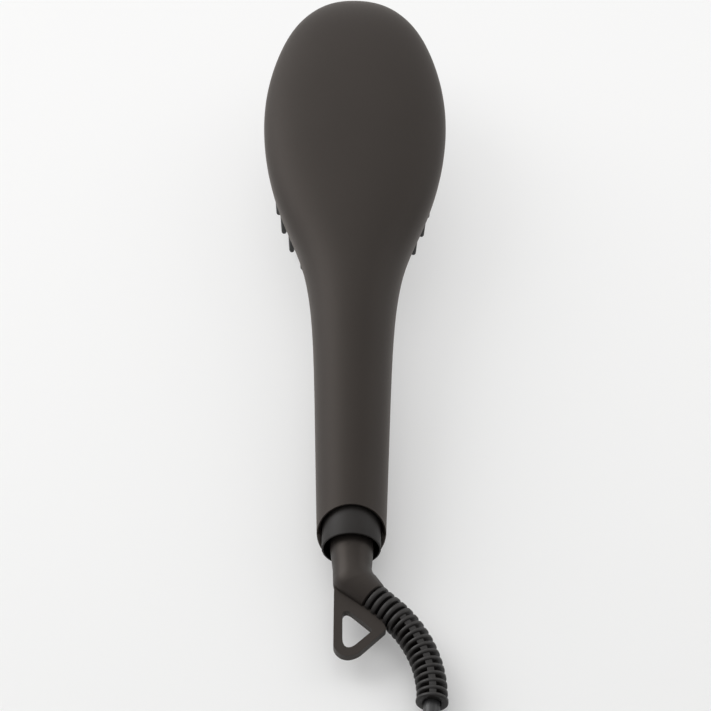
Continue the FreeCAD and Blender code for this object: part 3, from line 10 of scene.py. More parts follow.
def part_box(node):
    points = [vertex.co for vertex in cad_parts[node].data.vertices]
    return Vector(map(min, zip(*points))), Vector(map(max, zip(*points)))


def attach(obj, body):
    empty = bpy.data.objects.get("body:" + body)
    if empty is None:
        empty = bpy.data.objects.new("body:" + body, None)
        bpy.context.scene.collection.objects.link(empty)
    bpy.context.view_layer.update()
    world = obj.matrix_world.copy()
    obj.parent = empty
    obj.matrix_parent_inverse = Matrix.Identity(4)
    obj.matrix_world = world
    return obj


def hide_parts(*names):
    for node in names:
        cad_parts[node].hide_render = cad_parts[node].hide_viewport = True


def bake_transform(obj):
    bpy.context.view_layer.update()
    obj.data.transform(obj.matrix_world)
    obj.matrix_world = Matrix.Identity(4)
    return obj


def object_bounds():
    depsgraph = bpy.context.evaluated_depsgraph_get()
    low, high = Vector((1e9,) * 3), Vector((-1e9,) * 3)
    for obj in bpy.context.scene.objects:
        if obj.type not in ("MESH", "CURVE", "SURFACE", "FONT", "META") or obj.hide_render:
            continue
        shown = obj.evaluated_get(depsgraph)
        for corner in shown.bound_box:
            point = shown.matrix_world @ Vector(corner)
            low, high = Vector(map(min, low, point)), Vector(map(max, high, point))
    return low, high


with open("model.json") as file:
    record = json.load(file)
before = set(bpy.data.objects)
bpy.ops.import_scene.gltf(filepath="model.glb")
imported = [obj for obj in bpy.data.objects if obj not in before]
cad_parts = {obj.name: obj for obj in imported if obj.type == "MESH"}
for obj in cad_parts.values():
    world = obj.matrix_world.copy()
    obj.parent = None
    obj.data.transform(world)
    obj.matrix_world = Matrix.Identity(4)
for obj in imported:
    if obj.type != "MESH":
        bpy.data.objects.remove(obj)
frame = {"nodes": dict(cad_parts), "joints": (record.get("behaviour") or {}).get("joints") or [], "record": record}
cad_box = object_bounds()

# Two places to model in, both in millimetres: along the brush from the end of its handle, with the
# parting plane of the case at z = 0, and on the table.
MM = 0.001
swivel_joint = next(joint for joint in frame["joints"] if joint["name"] == "cord_swivel")
ACROSS = Vector((1, 0, 0))
ALONG = -Vector(swivel_joint["axis"])
UP = Vector((0, 0, 1))
TABLE = Matrix.Scale(MM, 4)
BRUSH = Matrix((ACROSS, ALONG, ACROSS.cross(ALONG))).transposed().to_4x4()
BRUSH.translation = Vector(swivel_joint["pos_m"])
BRUSH = BRUSH @ TABLE

# Camera
VIEW_TARGET = Vector((0, 90.81, 0))
VIEW_DISTANCE = 1052.0
VIEW_ELEVATION = math.radians(52)
VIEW_LEAN = math.radians(0.5)
VIEW_ROLL = math.radians(1.2)
VIEW_ANGLE = math.radians(15)
FRAME_PIXELS = 711
AXIS_PIXELS_LEFT = 2.5
SENSOR_WIDTH = 36
CLIP_START = 0.05
CLIP_END = 20

# Floor and light, in metres and watts
FLOOR_SIZE = 4
FLOOR_TONES = ((0.885, 0.885, 0.88, 1), (0.9, 0.9, 0.895, 1))
GLOW_COLOUR = (0.95, 0.948, 0.945, 1)
HEAD_GLOW_SHARE = 0.68
BOOT_GLOW_SHARE = 0.13
GLOW_SPAN = (-0.165, 0.15)
WORLD_FRONT = 0.1
WORLD_BACK = 1.02
WORLD_HEADING = (-0.45, 0.8, 0.4)
LAMPS = {  # place, width and power
    "left_lamp": ((-1.2, 0.6, 0.8), 1.3, 11),
    "right_lamp": ((1.25, 0.65, 0.8), 1.2, 3),
    "top_lamp": ((-0.2, 0.9, 1.4), 1.4, 2.5),
}

# Meshes
MERGE_DISTANCE = 0.0005
SLIVER = 0.0001
SOFT_EDGE_ANGLE = math.radians(50)
CORNER_SEGMENTS = 8

# Case of the handle and head
HANDLE_LENGTH = 137.0
HEAD_LENGTH = 147.5
HANDLE_END_RADIUS = 12.7
HEAD_HALF_WIDTH = 38.0
CROWN_HEIGHT = 14.5
END_SETBACK = 6.4
END_SLANT = math.radians(22)
END_BLEND = 45.0
CASE_WALL = 0.6
CASE_EDGE = 0.2
CASE_COLUMNS = 56
CASE_LINE_STEPS = 12
STATION_HANDLE_SHARES = (0, 0.208, 0.498, 0.727, 0.893, 1, 1, 1, 1, 1, 1, 1)
STATION_HEAD_SHARES = (0, 0, 0, 0, 0, 0.041, 0.199, 0.402, 0.614, 0.807, 0.934, 1)
WIDTH_SHARES = (0, 0.035, 0.075, 0.12, 0.20, 0.36, 0.74, 1.00, 1.015, 0.76, 0.40, -0.10)
HEIGHT_HANDLE_SHARES = (1, 1.03, 1.08, 0.80, 0.40, 0, 0, 0, 0, 0, 0, 0)
HEIGHT_HEAD_SHARES = (0, 0, 0, 0.30, 0.66, 1.02, 1.03, 1.03, 1.0, 0.90, 0.66, 0.22)
FULLNESS_SHARES = (0, 0, 0, 0, 0.2, 0.6, 1, 1, 1, 1, 1, 1)
ROUND_SHARE = math.sqrt(0.5)
BACK_FULLNESS_SHARE = 0.85

# Collar in the handle's end
COLLAR_RADIUS = 11.0
COLLAR_LENGTH = 14.0
RECESS_RADIUS = 10.3
RECESS_DEPTH = 7.0
SPINDLE_RADIUS = 5.5
COLLAR_EDGE = 0.35
RECESS_EDGE = 0.175
ROUND_MIDDLE = 0.3
SHADE_MARGIN = 0.035
COLLAR_SIDES = 96

# Pins and teeth. The tips of the guard pins lean a little to the middle and the handle.
GUARD_RADIUS = 1.4
GUARD_TIP_RADIUS = 1.1
GUARD_DRAW_IN = 0.9
GUARD_LEAN = 1.5
TOOTH_RADIUS = 2.0
TOOTH_TIP_RADIUS = 1.0
CAP_RADIUS = 1.6
CAP_TIP_RADIUS = 1.45
ROD_SIDES = 18
ROD_TIP_STEPS = 5

# Buttons on the front: places on the cap as (share of its radius, depth) in the dish and
# (inset, drop) over the rim, and marks as bars of (half length across, half length along)
KEY_DISH = ((0, 0.45), (0.4, 0.378), (0.7, 0.225), (0.86, 0.1), (0.93, 0))
KEY_RIM = ((0.12, 0.15), (0, 0.5))
KEY_CAP_DEPTH = 1.0
KEY_MARGIN = 0.05
KEY_SIDES = 48
MARK_THICKNESS = 0.3
MARK_SINK = 0.03
MARK_EDGE = 0.08
KEY_MARKS = {
    "power": [(0.5, 0.5)],
    "up": [(1.3, 0.28), (0.28, 1.3)],
    "down": [(1.3, 0.28)],
}

# Cord boot: neck, hanging loop and ribbed sleeve
NECK_RADIUS = 8.0
NECK_WAIST = 7.2
NECK_ENTRY = 6.0
NECK_TAPER = 9.0
NECK_TAPER_STEPS = 4
NECK_REACH = 14.4
NECK_BEND = 6.0
NECK_BEND_STEPS = 8
NECK_LEAN = math.radians(1.6)
NECK_SIDES = 64
BOOT_TURN = math.radians(47)
SHANK_LENGTH = 10.3
SHANK_RADIUS = 6.2
SHANK_TIP_RADIUS = 5.7
SHANK_EDGE = 0.4
LOOP_THICKNESS = 3.2
LOOP_EDGE = 0.95
LOOP_SIDE = -6.2
LOOP_ROOT = -9.0
LOOP_CORNERS = [(LOOP_SIDE, -46.8, 5.2), (1.8, -46.8, 3.2), (12.9, -35.3, 0.6)]
LOOP_HOLE = [(-3.1, -25.5, 5.0), (-2.9, -46.7, 7.2), (8.1, -35.7, 1.2)]
SLEEVE_RADIUS = 5.95
SLEEVE_TAPER = 0.35
SLEEVE_GROOVE = 5.05
SLEEVE_WINDOW = 3.15
SLEEVE_SPINE = 5.35
SLEEVE_STRAIGHT = 8.0
SLEEVE_BEND = 47.8
SLEEVE_TURN = math.radians(51)
SLEEVE_END_RADIUS = 5.85
SLEEVE_MOUTH = 2.0
RIB_COUNT = 17
CLOSED_RIB_COUNT = 5
RIB_PITCH = 3.0
RIB_WIDTH = 1.55
CLOSED_RIB_WIDTH = 1.95
RIB_EDGE = 0.3
RIB_SIDE_COLUMNS = 8
SPINE_WIDTH = 2.5
SPINE_FLANK = math.radians(2)
SPINE_SHARES = (-1, -0.5, 0, 0.5, 1)

# Mains lead, in the table's frame
CORD_RADIUS = 3.0
LEAD_STRAIGHT = 18.0
LEAD_ROUTE = [(29.7, -210.5, 4.1), (29.5, -229.0, 4.1)]
TAIL_ROUTE = [(25.4, -257.0, 10.3), (22.4, -273.5, 7.8), (19.7, -289.5, 6.85), (19.7, -305.0, 6.85)]
LEAD_SIDES = 20
LEAD_STEPS = 10
LEAD_HELD_SHARE = 0.8
INNER_LEAD_SIDES = 16
INNER_LEAD_STEPS = 24
COIL_PITCH = 6.55
COIL_OUTER_RADIUS = 46.0
COIL_LOW = 4.1
COIL_TURNS_IN = 4
CLIMB_TURNS = 0.5
COIL_TURNS_OUT = 3.5
TURN_POINTS = 16

# Plug on the lead's end, lying flat and pointing along -Y. A relief rib's profile is (depth below
# its crest, share of the pitch) and a pin's tip is (share of its radius, distance from the tip).
PLUG_WIDTH = 35.3
PLUG_THICKNESS = 13.7
PLUG_LENGTH = 33.0
PLUG_EDGE = 0.7
PLUG_NECK_WIDTH = 13.0
PLUG_STATION_SHARES = (0, 0.4, 0.75, 1)
PLUG_WIDTH_SHARES = (1, 0.94, 0.37, 0)
PLUG_HEIGHT_SHARES = (1, 1, 0.94, 0.85)
PLUG_SQUARENESS = 4
PLUG_SIDES = 48
PLUG_LINE_STEPS = 40
GRIP_START = 4.0
GRIP_END = 16.0
GRIP_PITCH = 2.4
GRIP_DEPTH = 0.45
PLUG_RELIEF_RADIUS = 5.4
PLUG_RELIEF_TIP = 4.0
PLUG_RELIEF_LENGTH = 21.0
PLUG_RELIEF_INSET = 1.0
PLUG_RELIEF_RIBS = 6
PLUG_RELIEF_SIDES = 36
PLUG_RIB_PROFILE = ((0.3, 0), (0, 0.1), (0, 0.5), (0.3, 0.6), (1.0, 0.62), (1.0, 0.98))
PLUG_PIN_RADIUS = 2.0
PLUG_PIN_LENGTH = 19.0
PLUG_PIN_SPACING = 18.6
PLUG_PIN_INSIDE = 3.0
PLUG_PIN_SIDES = 28
PLUG_PIN_ROUND = 1.4
PLUG_PIN_TIP = ((0.8, 0.5), (0.45, 0.1), (0, 0))
PLUG_SLEEVE_LENGTH = 10.0
PLUG_SLEEVE_STEP = 0.15
TIE_THICKNESS = 0.8
TIE_CORNER = 4.0
TIE_LAP = 1.05
TIE_FLAP_SHARES = (-0.6, -0.3, 0, 0.3, 0.55)


class Value:
    """A socket of a finish's nodes that takes part in sums."""

    def __init__(self, finish, socket):
        self.finish = finish
        self.socket = socket

    def sum(self, operation, first, second):
        return self.finish.node("ShaderNodeMath", {"operation": operation}, {0: first, 1: second})

    def __add__(self, other):
        return self.sum("ADD", self, other)

    def __radd__(self, other):
        return self.sum("ADD", other, self)

    def __sub__(self, other):
        return self.sum("SUBTRACT", self, other)

    def __rsub__(self, other):
        return self.sum("SUBTRACT", other, self)

    def __mul__(self, other):
        return self.sum("MULTIPLY", self, other)

    def __rmul__(self, other):
        return self.sum("MULTIPLY", other, self)


class Nodes:
    """The nodes of a material or of the world."""

    def __init__(self, tree):
        self.tree = tree

    def node(self, kind, settings=None, sockets=None, output=0):
        """A new node: its settings first, then the values or links of its sockets."""
        made = self.tree.nodes.new(kind)
        for name, value in (settings or {}).items():
            setattr(made, name, value)
        for name, value in (sockets or {}).items():
            self.feed(made.inputs[name], value)
        return Value(self, made.outputs[output])

    def feed(self, socket, value):
        if isinstance(value, Value):
            self.tree.links.new(value.socket, socket)
        else:
            socket.default_value = value

    def span(self, value, low, high, start=0, end=1, ease="SMOOTHSTEP"):
        """A value from low to high laid onto start to end."""
        sockets = {"Value": value, "From Min": low, "From Max": high, "To Min": start, "To Max": end}
        return self.node("ShaderNodeMapRange", {"interpolation_type": ease}, sockets)


class Finish(Nodes):
    """A material of one principled shader whose colour, roughness and relief come from nodes."""

    def __init__(self, name, **constants):
        self.material = bpy.data.materials.new(name)
        self.material.use_nodes = True
        super().__init__(self.material.node_tree)
        self.shader = self.tree.nodes["Principled BSDF"]
        for socket, value in constants.items():
            label = socket.replace("_", " ").title().replace("Ior", "IOR")
            self.shader.inputs[label].default_value = value
        self.place = self.node("ShaderNodeTexCoord", output="Object")

    def stretched(self, x, y, z):
        """Object coordinates drawn out along an axis."""
        return self.node("ShaderNodeMapping", None, {"Vector": self.place, "Scale": (x, y, z)})

    def noise(self, size, detail=2, place=None):
        """Noise from 0 to 1 whose features are about a size in millimetres."""
        sockets = {"Vector": place or self.place, "Scale": 1 / (size * MM), "Detail": detail}
        return self.node("ShaderNodeTexNoise", None, sockets)

    def cells(self, size):
        """Distance from the middle of scattered cells of a size in millimetres."""
        return self.node("ShaderNodeTexVoronoi", None, {"Vector": self.place, "Scale": 1 / (size * MM)})

    def blend(self, share, first, second):
        """One colour turning into another as a share goes from 0 to 1."""
        return self.node("ShaderNodeMix", {"data_type": "RGBA"}, {0: share, 6: first, 7: second}, output=2)

    def colour(self, value):
        self.feed(self.shader.inputs["Base Color"], value)

    def roughness(self, value):
        self.feed(self.shader.inputs["Roughness"], value)

    def relief(self, height, depth):
        """Bump of a depth in millimetres."""
        bump = self.node("ShaderNodeBump", None, {"Strength": 1, "Distance": depth * MM, "Height": height})
        self.feed(self.shader.inputs["Normal"], bump)


def shade(colour, factor):
    """A colour with its light scaled, opaque."""
    return (*[channel * factor for channel in colour], 1)


def moulded(name, colour, rough, grain, depth, spread=0.12, **constants):
    """Moulded plastic: a fine grain, a slow drift of tone and small changes of gloss."""
    finish = Finish(name, **constants)
    drift_share, gloss_change = 0.6, 0.05
    drift = finish.noise(size=35, detail=3)
    speck = finish.noise(size=grain, detail=3)
    tone = finish.span(drift * drift_share + speck * (1 - drift_share), low=0.3, high=0.7)
    finish.colour(finish.blend(tone, shade(colour, 1 - spread), shade(colour, 1 + spread)))
    gloss = finish.span(speck, low=0.25, high=0.75, start=rough - gloss_change, end=rough + gloss_change)
    finish.roughness(gloss)
    finish.relief(speck, depth)
    return finish.material


def rubber(name, colour, rough, **constants):
    """Soft rubber: a dusty bloom over dark, slightly uneven skin."""
    finish = Finish(name, **constants)
    bloom = finish.noise(size=6, detail=4)
    pores = finish.cells(size=0.5)
    tone = finish.span(bloom, low=0.35, high=0.7)
    finish.colour(finish.blend(tone, shade(colour, 0.85), shade(colour, 1.2)))
    finish.roughness(finish.span(bloom, low=0.3, high=0.7, start=rough - 0.08, end=rough + 0.06))
    finish.relief(finish.span(pores, low=0, high=0.5), depth=0.015)
    return finish.material


def metal(name, colour, rough, stretch):
    """Metal with fine drawn lines along one axis."""
    finish = Finish(name, metallic=1)
    lines = finish.noise(size=0.4, detail=3, place=finish.stretched(*stretch))
    stain = finish.noise(size=9, detail=3)
    finish.colour(finish.blend(stain, shade(colour, 0.9), shade(colour, 1.06)))
    finish.roughness(finish.span(lines, low=0.2, high=0.8, start=rough - 0.06, end=rough + 0.1))
    finish.relief(lines, depth=0.004)
    return finish.material


def woven(name, colour):
    """Hook-and-loop strap: a close pile of crossed threads."""
    finish = Finish(name, roughness=0.9, specular_ior_level=0.2)
    pile_share = 0.7
    pile = 1 - finish.span(finish.cells(size=0.45), low=0, high=0.6)
    tuft = finish.noise(size=1.2, detail=4)
    height = pile * pile_share + tuft * (1 - pile_share)
    finish.colour(finish.blend(height, shade(colour, 0.6), shade(colour, 1.5)))
    finish.relief(height, depth=0.12)
    return finish.material


def printed_board(name):
    """Lacquered board with paler copper runs under the green."""
    finish = Finish(name)
    lacquer, run = (0.012, 0.08, 0.03, 1), (0.03, 0.17, 0.07, 1)
    bands = finish.node("ShaderNodeTexWave", {"bands_direction": "X"},
                        {"Vector": finish.place, "Scale": 260, "Distortion": 2.5, "Detail": 1})
    share = finish.span(bands, low=0.55, high=0.7)
    finish.colour(finish.blend(share, lacquer, run))
    finish.roughness(finish.span(share, low=0, high=1, start=0.32, end=0.42))
    finish.relief(share, depth=0.03)
    return finish.material


def clear_window(name):
    """Smoked gloss plastic with the faintest polish haze."""
    finish = Finish(name, coat_weight=0.4, coat_roughness=0.04)
    clear, dull = (0.006, 0.006, 0.007, 1), (0.011, 0.011, 0.012, 1)
    haze = finish.noise(size=3, detail=4)
    finish.colour(finish.blend(haze, clear, dull))
    finish.roughness(finish.span(haze, low=0.3, high=0.7, start=0.05, end=0.11))
    return finish.material


WARM_GLOSS = (1, 0.88, 0.79, 1)
SOFT_BLACK = (0.0190, 0.0155, 0.0138)
BOOT_BLACK = (0.0185, 0.0156, 0.0141)
SLEEVE_BLACK = (0.0135, 0.0115, 0.0106)
LONG_LINES = (1, 0.1, 1)
FINISHES = {
    "case_plastic": moulded("soft_touch_case", SOFT_BLACK, rough=0.55, grain=0.35, depth=0.012, spread=0.08,
                            specular_ior_level=0.3, specular_tint=WARM_GLOSS, sheen_weight=0.12,
                            sheen_roughness=0.45, sheen_tint=WARM_GLOSS),
    "guard_nylon": moulded("guard_nylon", (0.014, 0.0135, 0.013), rough=0.5, grain=0.5, depth=0.01),
    "tip_plastic": moulded("cool_tip_plastic", (0.02, 0.02, 0.02), rough=0.5, grain=0.4, depth=0.01),
    "button_plastic": moulded("button_plastic", (0.06, 0.058, 0.056), rough=0.42, grain=0.4, depth=0.008),
    "window_plastic": clear_window("display_window"),
    "plate_aluminium": metal("anodised_plate", (0.16, 0.155, 0.15), rough=0.4, stretch=(1, 0.06, 1)),
    "element_jacket": metal("element_jacket", (0.72, 0.72, 0.72), rough=0.4, stretch=LONG_LINES),
    "insulation_film": moulded("amber_film", (0.5, 0.26, 0.04), rough=0.2, grain=2.0, depth=0.01),
    "steel": metal("zinc_plated_steel", (0.55, 0.55, 0.57), rough=0.34, stretch=(1, 1, 0.2)),
    "sensor_glass": moulded("sensor_glass", (0.35, 0.12, 0.05), rough=0.1, grain=1.0, depth=0.004),
    "cutoff_metal": metal("cutoff_case", (0.65, 0.64, 0.62), rough=0.35, stretch=LONG_LINES),
    "circuit_board": printed_board("circuit_board"),
    "switch_plastic": moulded("switch_plastic", (0.05, 0.05, 0.05), rough=0.45, grain=0.4, depth=0.008),
    "display_plastic": moulded("display_plastic", (0.02, 0.02, 0.022), rough=0.25, grain=0.6, depth=0.004),
    "collar_plastic": moulded("collar_plastic", (0.0165, 0.0142, 0.013), rough=0.52, grain=0.4, depth=0.012,
                              specular_ior_level=0.3),
    "inner_plastic": moulded("inner_plastic", (0.09, 0.09, 0.088), rough=0.5, grain=0.5, depth=0.01),
    "contact_brass": metal("contact_brass", (0.78, 0.55, 0.24), rough=0.3, stretch=LONG_LINES),
    "wire_sheath": rubber("wire_sheath", (0.25, 0.03, 0.025), rough=0.45),
    "boot_plastic": moulded("boot_plastic", BOOT_BLACK, rough=0.44, grain=0.4, depth=0.012,
                            specular_ior_level=0.35, specular_tint=WARM_GLOSS),
    "boot_rubber": rubber("boot_rubber", SLEEVE_BLACK, rough=0.46, specular_ior_level=0.4),
    "cord_jacket": rubber("cord_jacket", (0.03, 0.03, 0.031), rough=0.42),
    "tie_strap": woven("tie_strap", (0.03, 0.03, 0.032)),
    "plug_rubber": rubber("plug_rubber", (0.02, 0.02, 0.02), rough=0.48),
    "pin_metal": metal("pin_metal", (0.72, 0.7, 0.66), rough=0.25, stretch=LONG_LINES),
}
# Second finishes: painted shade in openings, the sleeves of the plug's pins and the buttons' marks
PAINTED_SHADE_BLACK = moulded("painted_shade_black", (0.0018, 0.0016, 0.0015), rough=0.8, grain=0.5, depth=0.01,
                       specular_ior_level=0.08)
PIN_SLEEVE = moulded("pin_sleeve", (0.025, 0.025, 0.026), rough=0.4, grain=0.5, depth=0.006)
MARK_GREY = moulded("mark_grey", (0.42, 0.42, 0.41), rough=0.5, grain=0.6, depth=0.006)
NODE_SLOTS = {part["node"]: part["material_slot"] for part in frame["record"]["subparts"]}


def finish_nodes():
    """Give every piece of the frame the finish of its slot."""
    for name, node in frame["nodes"].items():
        node.data.materials.clear()
        node.data.materials.append(FINISHES[NODE_SLOTS[name]])


def new_piece(name, bm, place, slot, nodes=(), body=None, sharp=40, finishes=()):
    """An object of a finished mesh that stands for some nodes of the frame and rides on a body."""
    bmesh.ops.transform(bm, matrix=place, verts=bm.verts)
    mesh = bpy.data.meshes.new(name)
    bm.to_mesh(mesh)
    bm.free()
    mesh.shade_smooth()
    mesh.set_sharp_from_angle(angle=math.radians(sharp))
    for finish in finishes or (FINISHES[slot],):
        mesh.materials.append(finish)
    piece = bpy.data.objects.new(name, mesh)
    bpy.context.scene.collection.objects.link(piece)
    if body:
        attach(piece, body)
    if nodes:
        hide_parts(*nodes)
    return piece


def soften(piece, width):
    """Round the sharp edges of a piece."""
    edge = piece.modifiers.new("rounded_edge", "BEVEL")
    edge.width = width * MM
    edge.segments = 3
    edge.limit_method = "ANGLE"
    edge.angle_limit = SOFT_EDGE_ANGLE
    edge.harden_normals = True


def thicken(piece, name, thickness, side):
    """Give a sheet its thickness, inwards (-1) or outwards (1)."""
    wall = piece.modifiers.new(name, "SOLIDIFY")
    wall.thickness = thickness * MM
    wall.offset = side


def merge(bm):
    """Close seams and poles and turn the faces outwards."""
    bmesh.ops.remove_doubles(bm, verts=bm.verts, dist=MERGE_DISTANCE)
    bmesh.ops.dissolve_degenerate(bm, edges=bm.edges, dist=SLIVER)
    bmesh.ops.recalc_face_normals(bm, faces=bm.faces)
    return bm


def verts_of(geom):
    """The vertices among the results of an operator."""
    return [item for item in geom if isinstance(item, bmesh.types.BMVert)]


def sheet_of(columns, rows, corner, finish_at=None):
    """A net of quads whose corners lie where corner(column, row) says, with a finish for each quad."""
    bm = bmesh.new()
    bmesh.ops.create_grid(bm, x_segments=columns, y_segments=rows, size=1)
    if finish_at:
        for face in bm.faces:
            middle = face.calc_center_median()
            column = int((middle.x + 1) / 2 * columns)
            row = int((middle.y + 1) / 2 * rows)
            face.material_index = finish_at(column, row)
    for vert in bm.verts:
        column = round((vert.co.x + 1) / 2 * columns)
        row = round((vert.co.y + 1) / 2 * rows)
        vert.co = corner(column, row)
    return merge(bm)


def close_ends(bm):
    """Fill the open ends of a tube."""
    bmesh.ops.holes_fill(bm, edges=[edge for edge in bm.edges if edge.is_boundary])
    bmesh.ops.recalc_face_normals(bm, faces=bm.faces)
    return bm


def spline_points(route, order, steps):
    """Points read from a NURBS line with a route's points as its control points."""
    curve = bpy.data.curves.new("line", "CURVE")
    curve.dimensions = "3D"
    spline = curve.splines.new("NURBS")
    spline.points.add(len(route) - 1)
    for control, point in zip(spline.points, route):
        control.co = (*point, 1)
    spline.order_u = order
    spline.use_endpoint_u = True
    spline.resolution_u = steps
    holder = bpy.data.objects.new("line", curve)
    mesh = bpy.data.meshes.new_from_object(holder)
    points = [vertex.co.copy() for vertex in mesh.vertices]
    bpy.data.meshes.remove(mesh)
    bpy.data.objects.remove(holder)
    bpy.data.curves.remove(curve)
    return points


def ring_corner(point, direction, radius, angle):
    """A point on a ring about a line."""
    side = direction.cross(UP).normalized()
    lift = side.cross(direction)
    return point + side * (radius * math.cos(angle)) + lift * (radius * math.sin(angle))


def turned(profile, segments, axis=(0, 1, 0)):
    """A profile of (radius, place) points spun about an axis."""
    bm = bmesh.new()
    axis = Vector(axis)
    out = axis.orthogonal().normalized()
    verts = [bm.verts.new(out * radius + axis * place) for radius, place in profile]
    edges = [bm.edges.new(pair) for pair in zip(verts, verts[1:])]
    bmesh.ops.spin(bm, geom=verts + edges, cent=(0, 0, 0), axis=axis, angle=2 * math.pi,
                   steps=segments, use_merge=True)
    return merge(bm)


# Camera and light
def set_camera():
    out = Vector((0, -math.cos(VIEW_ELEVATION), math.sin(VIEW_ELEVATION)))
    upright = out.cross(ACROSS)
    right = ACROSS * math.cos(VIEW_LEAN) + upright * math.sin(VIEW_LEAN)
    up = upright * math.cos(VIEW_LEAN) - ACROSS * math.sin(VIEW_LEAN)
    roll = Matrix.Rotation(-VIEW_ROLL, 3, "Y")
    out = roll @ out
    turn = BRUSH.to_3x3().normalized() @ Matrix((roll @ right, roll @ up, out)).transposed()
    data = bpy.data.cameras.new("camera")
    data.sensor_width = SENSOR_WIDTH
    data.lens = SENSOR_WIDTH / 2 / math.tan(VIEW_ANGLE / 2)
    data.shift_x = AXIS_PIXELS_LEFT / FRAME_PIXELS
    data.clip_start = CLIP_START
    data.clip_end = CLIP_END
    camera = bpy.data.objects.new("camera", data)
    camera.matrix_world = Matrix.LocRotScale(BRUSH @ (VIEW_TARGET + out * VIEW_DISTANCE), turn, None)
    bpy.context.scene.collection.objects.link(camera)
    bpy.context.scene.camera = camera


def lay_floor():
    """A white table that glows a little where it is seen, most of all beyond the head."""
    bm = bmesh.new()
    bmesh.ops.create_grid(bm, x_segments=1, y_segments=1, size=FLOOR_SIZE)
    mesh = bpy.data.meshes.new("floor")
    bm.to_mesh(mesh)
    bm.free()
    finish = Finish("white_table", specular_ior_level=0.2)
    cloud = finish.noise(size=400)
    finish.colour(finish.blend(cloud, *FLOOR_TONES))
    finish.roughness(finish.span(cloud, low=0.3, high=0.7, start=0.55, end=0.65))
    rays = [finish.node("ShaderNodeLightPath", output=f"Is {kind} Ray")
            for kind in ("Camera", "Glossy", "Transmission")]
    straight = rays[0] + rays[1] + rays[2]
    glow = finish.node("ShaderNodeEmission", None, {"Color": GLOW_COLOUR, "Strength": 1})
    lit = Value(finish, finish.shader.outputs[0])
    place = finish.node("ShaderNodeSeparateXYZ", None, {0: finish.place}, output="Y")
    share = finish.span(place, *GLOW_SPAN, BOOT_GLOW_SHARE, HEAD_GLOW_SHARE, ease="LINEAR")
    surface = finish.node("ShaderNodeMixShader", None, {0: straight * share, 1: lit, 2: glow})
    finish.feed(finish.tree.nodes["Material Output"].inputs["Surface"], surface)
    mesh.materials.append(finish.material)
    floor = bpy.data.objects.new("floor", mesh)
    floor.location.z = cad_box[0].z
    bpy.context.scene.collection.objects.link(floor)


def area_light(name, place, width, power):
    """A round lamp that faces the brush."""
    data = bpy.data.lights.new(name, "AREA")
    data.shape = "DISK"
    data.size = width
    data.energy = power
    light = bpy.data.objects.new(name, data)
    light.location = place
    light.rotation_mode = "QUATERNION"
    light.rotation_quaternion = (-Vector(place)).to_track_quat("-Z", "Y")
    bpy.context.scene.collection.objects.link(light)


def light_studio():
    """A room brighter behind the brush than in front of it, with a broad lamp on each side and above."""
    world = bpy.data.worlds.new("studio")
    world.use_nodes = True
    room = Nodes(world.node_tree)
    background = world.node_tree.nodes["Background"]
    heading = room.node("ShaderNodeTexCoord", output="Generated")
    depth = room.node("ShaderNodeVectorMath", {"operation": "DOT_PRODUCT"},
                      {0: heading, 1: WORLD_HEADING}, output="Value")
    strength = room.span(depth, -1, 1, WORLD_FRONT, WORLD_BACK, ease="LINEAR")
    room.feed(background.inputs["Strength"], strength)
    background.inputs["Color"].default_value = (1, 1, 1, 1)
    bpy.context.scene.world = world
    for name, (place, width, power) in LAMPS.items():
        area_light(name, place, width, power)
    bpy.context.scene.view_settings.view_transform = "Standard"


# Mains lead
def coil_centre():
    entry = Vector(LEAD_ROUTE[-1])
    return Vector((entry.x - COIL_OUTER_RADIUS, entry.y - 2 * CORD_RADIUS, COIL_LOW))


def coil_point(turns):
    """A point of the coil: in along the lower layer, up a layer in half a turn, and out again."""
    climb_end = COIL_TURNS_IN + CLIMB_TURNS
    inner = COIL_OUTER_RADIUS - COIL_TURNS_IN * COIL_PITCH
    if turns < COIL_TURNS_IN:
        radius, lift = COIL_OUTER_RADIUS - COIL_PITCH * turns, 0
    elif turns > climb_end:
        radius, lift = inner + COIL_PITCH * (turns - climb_end), 1
    else:
        lift = (1 - math.cos(math.pi * (turns - COIL_TURNS_IN) / CLIMB_TURNS)) / 2
        radius = inner - min(turns - COIL_TURNS_IN, climb_end - turns) * COIL_PITCH
    angle = -2 * math.pi * turns
    rise = Vector((0, 0, lift * COIL_PITCH))
    return coil_centre() + rise + Vector((math.cos(angle), math.sin(angle), 0)) * radius


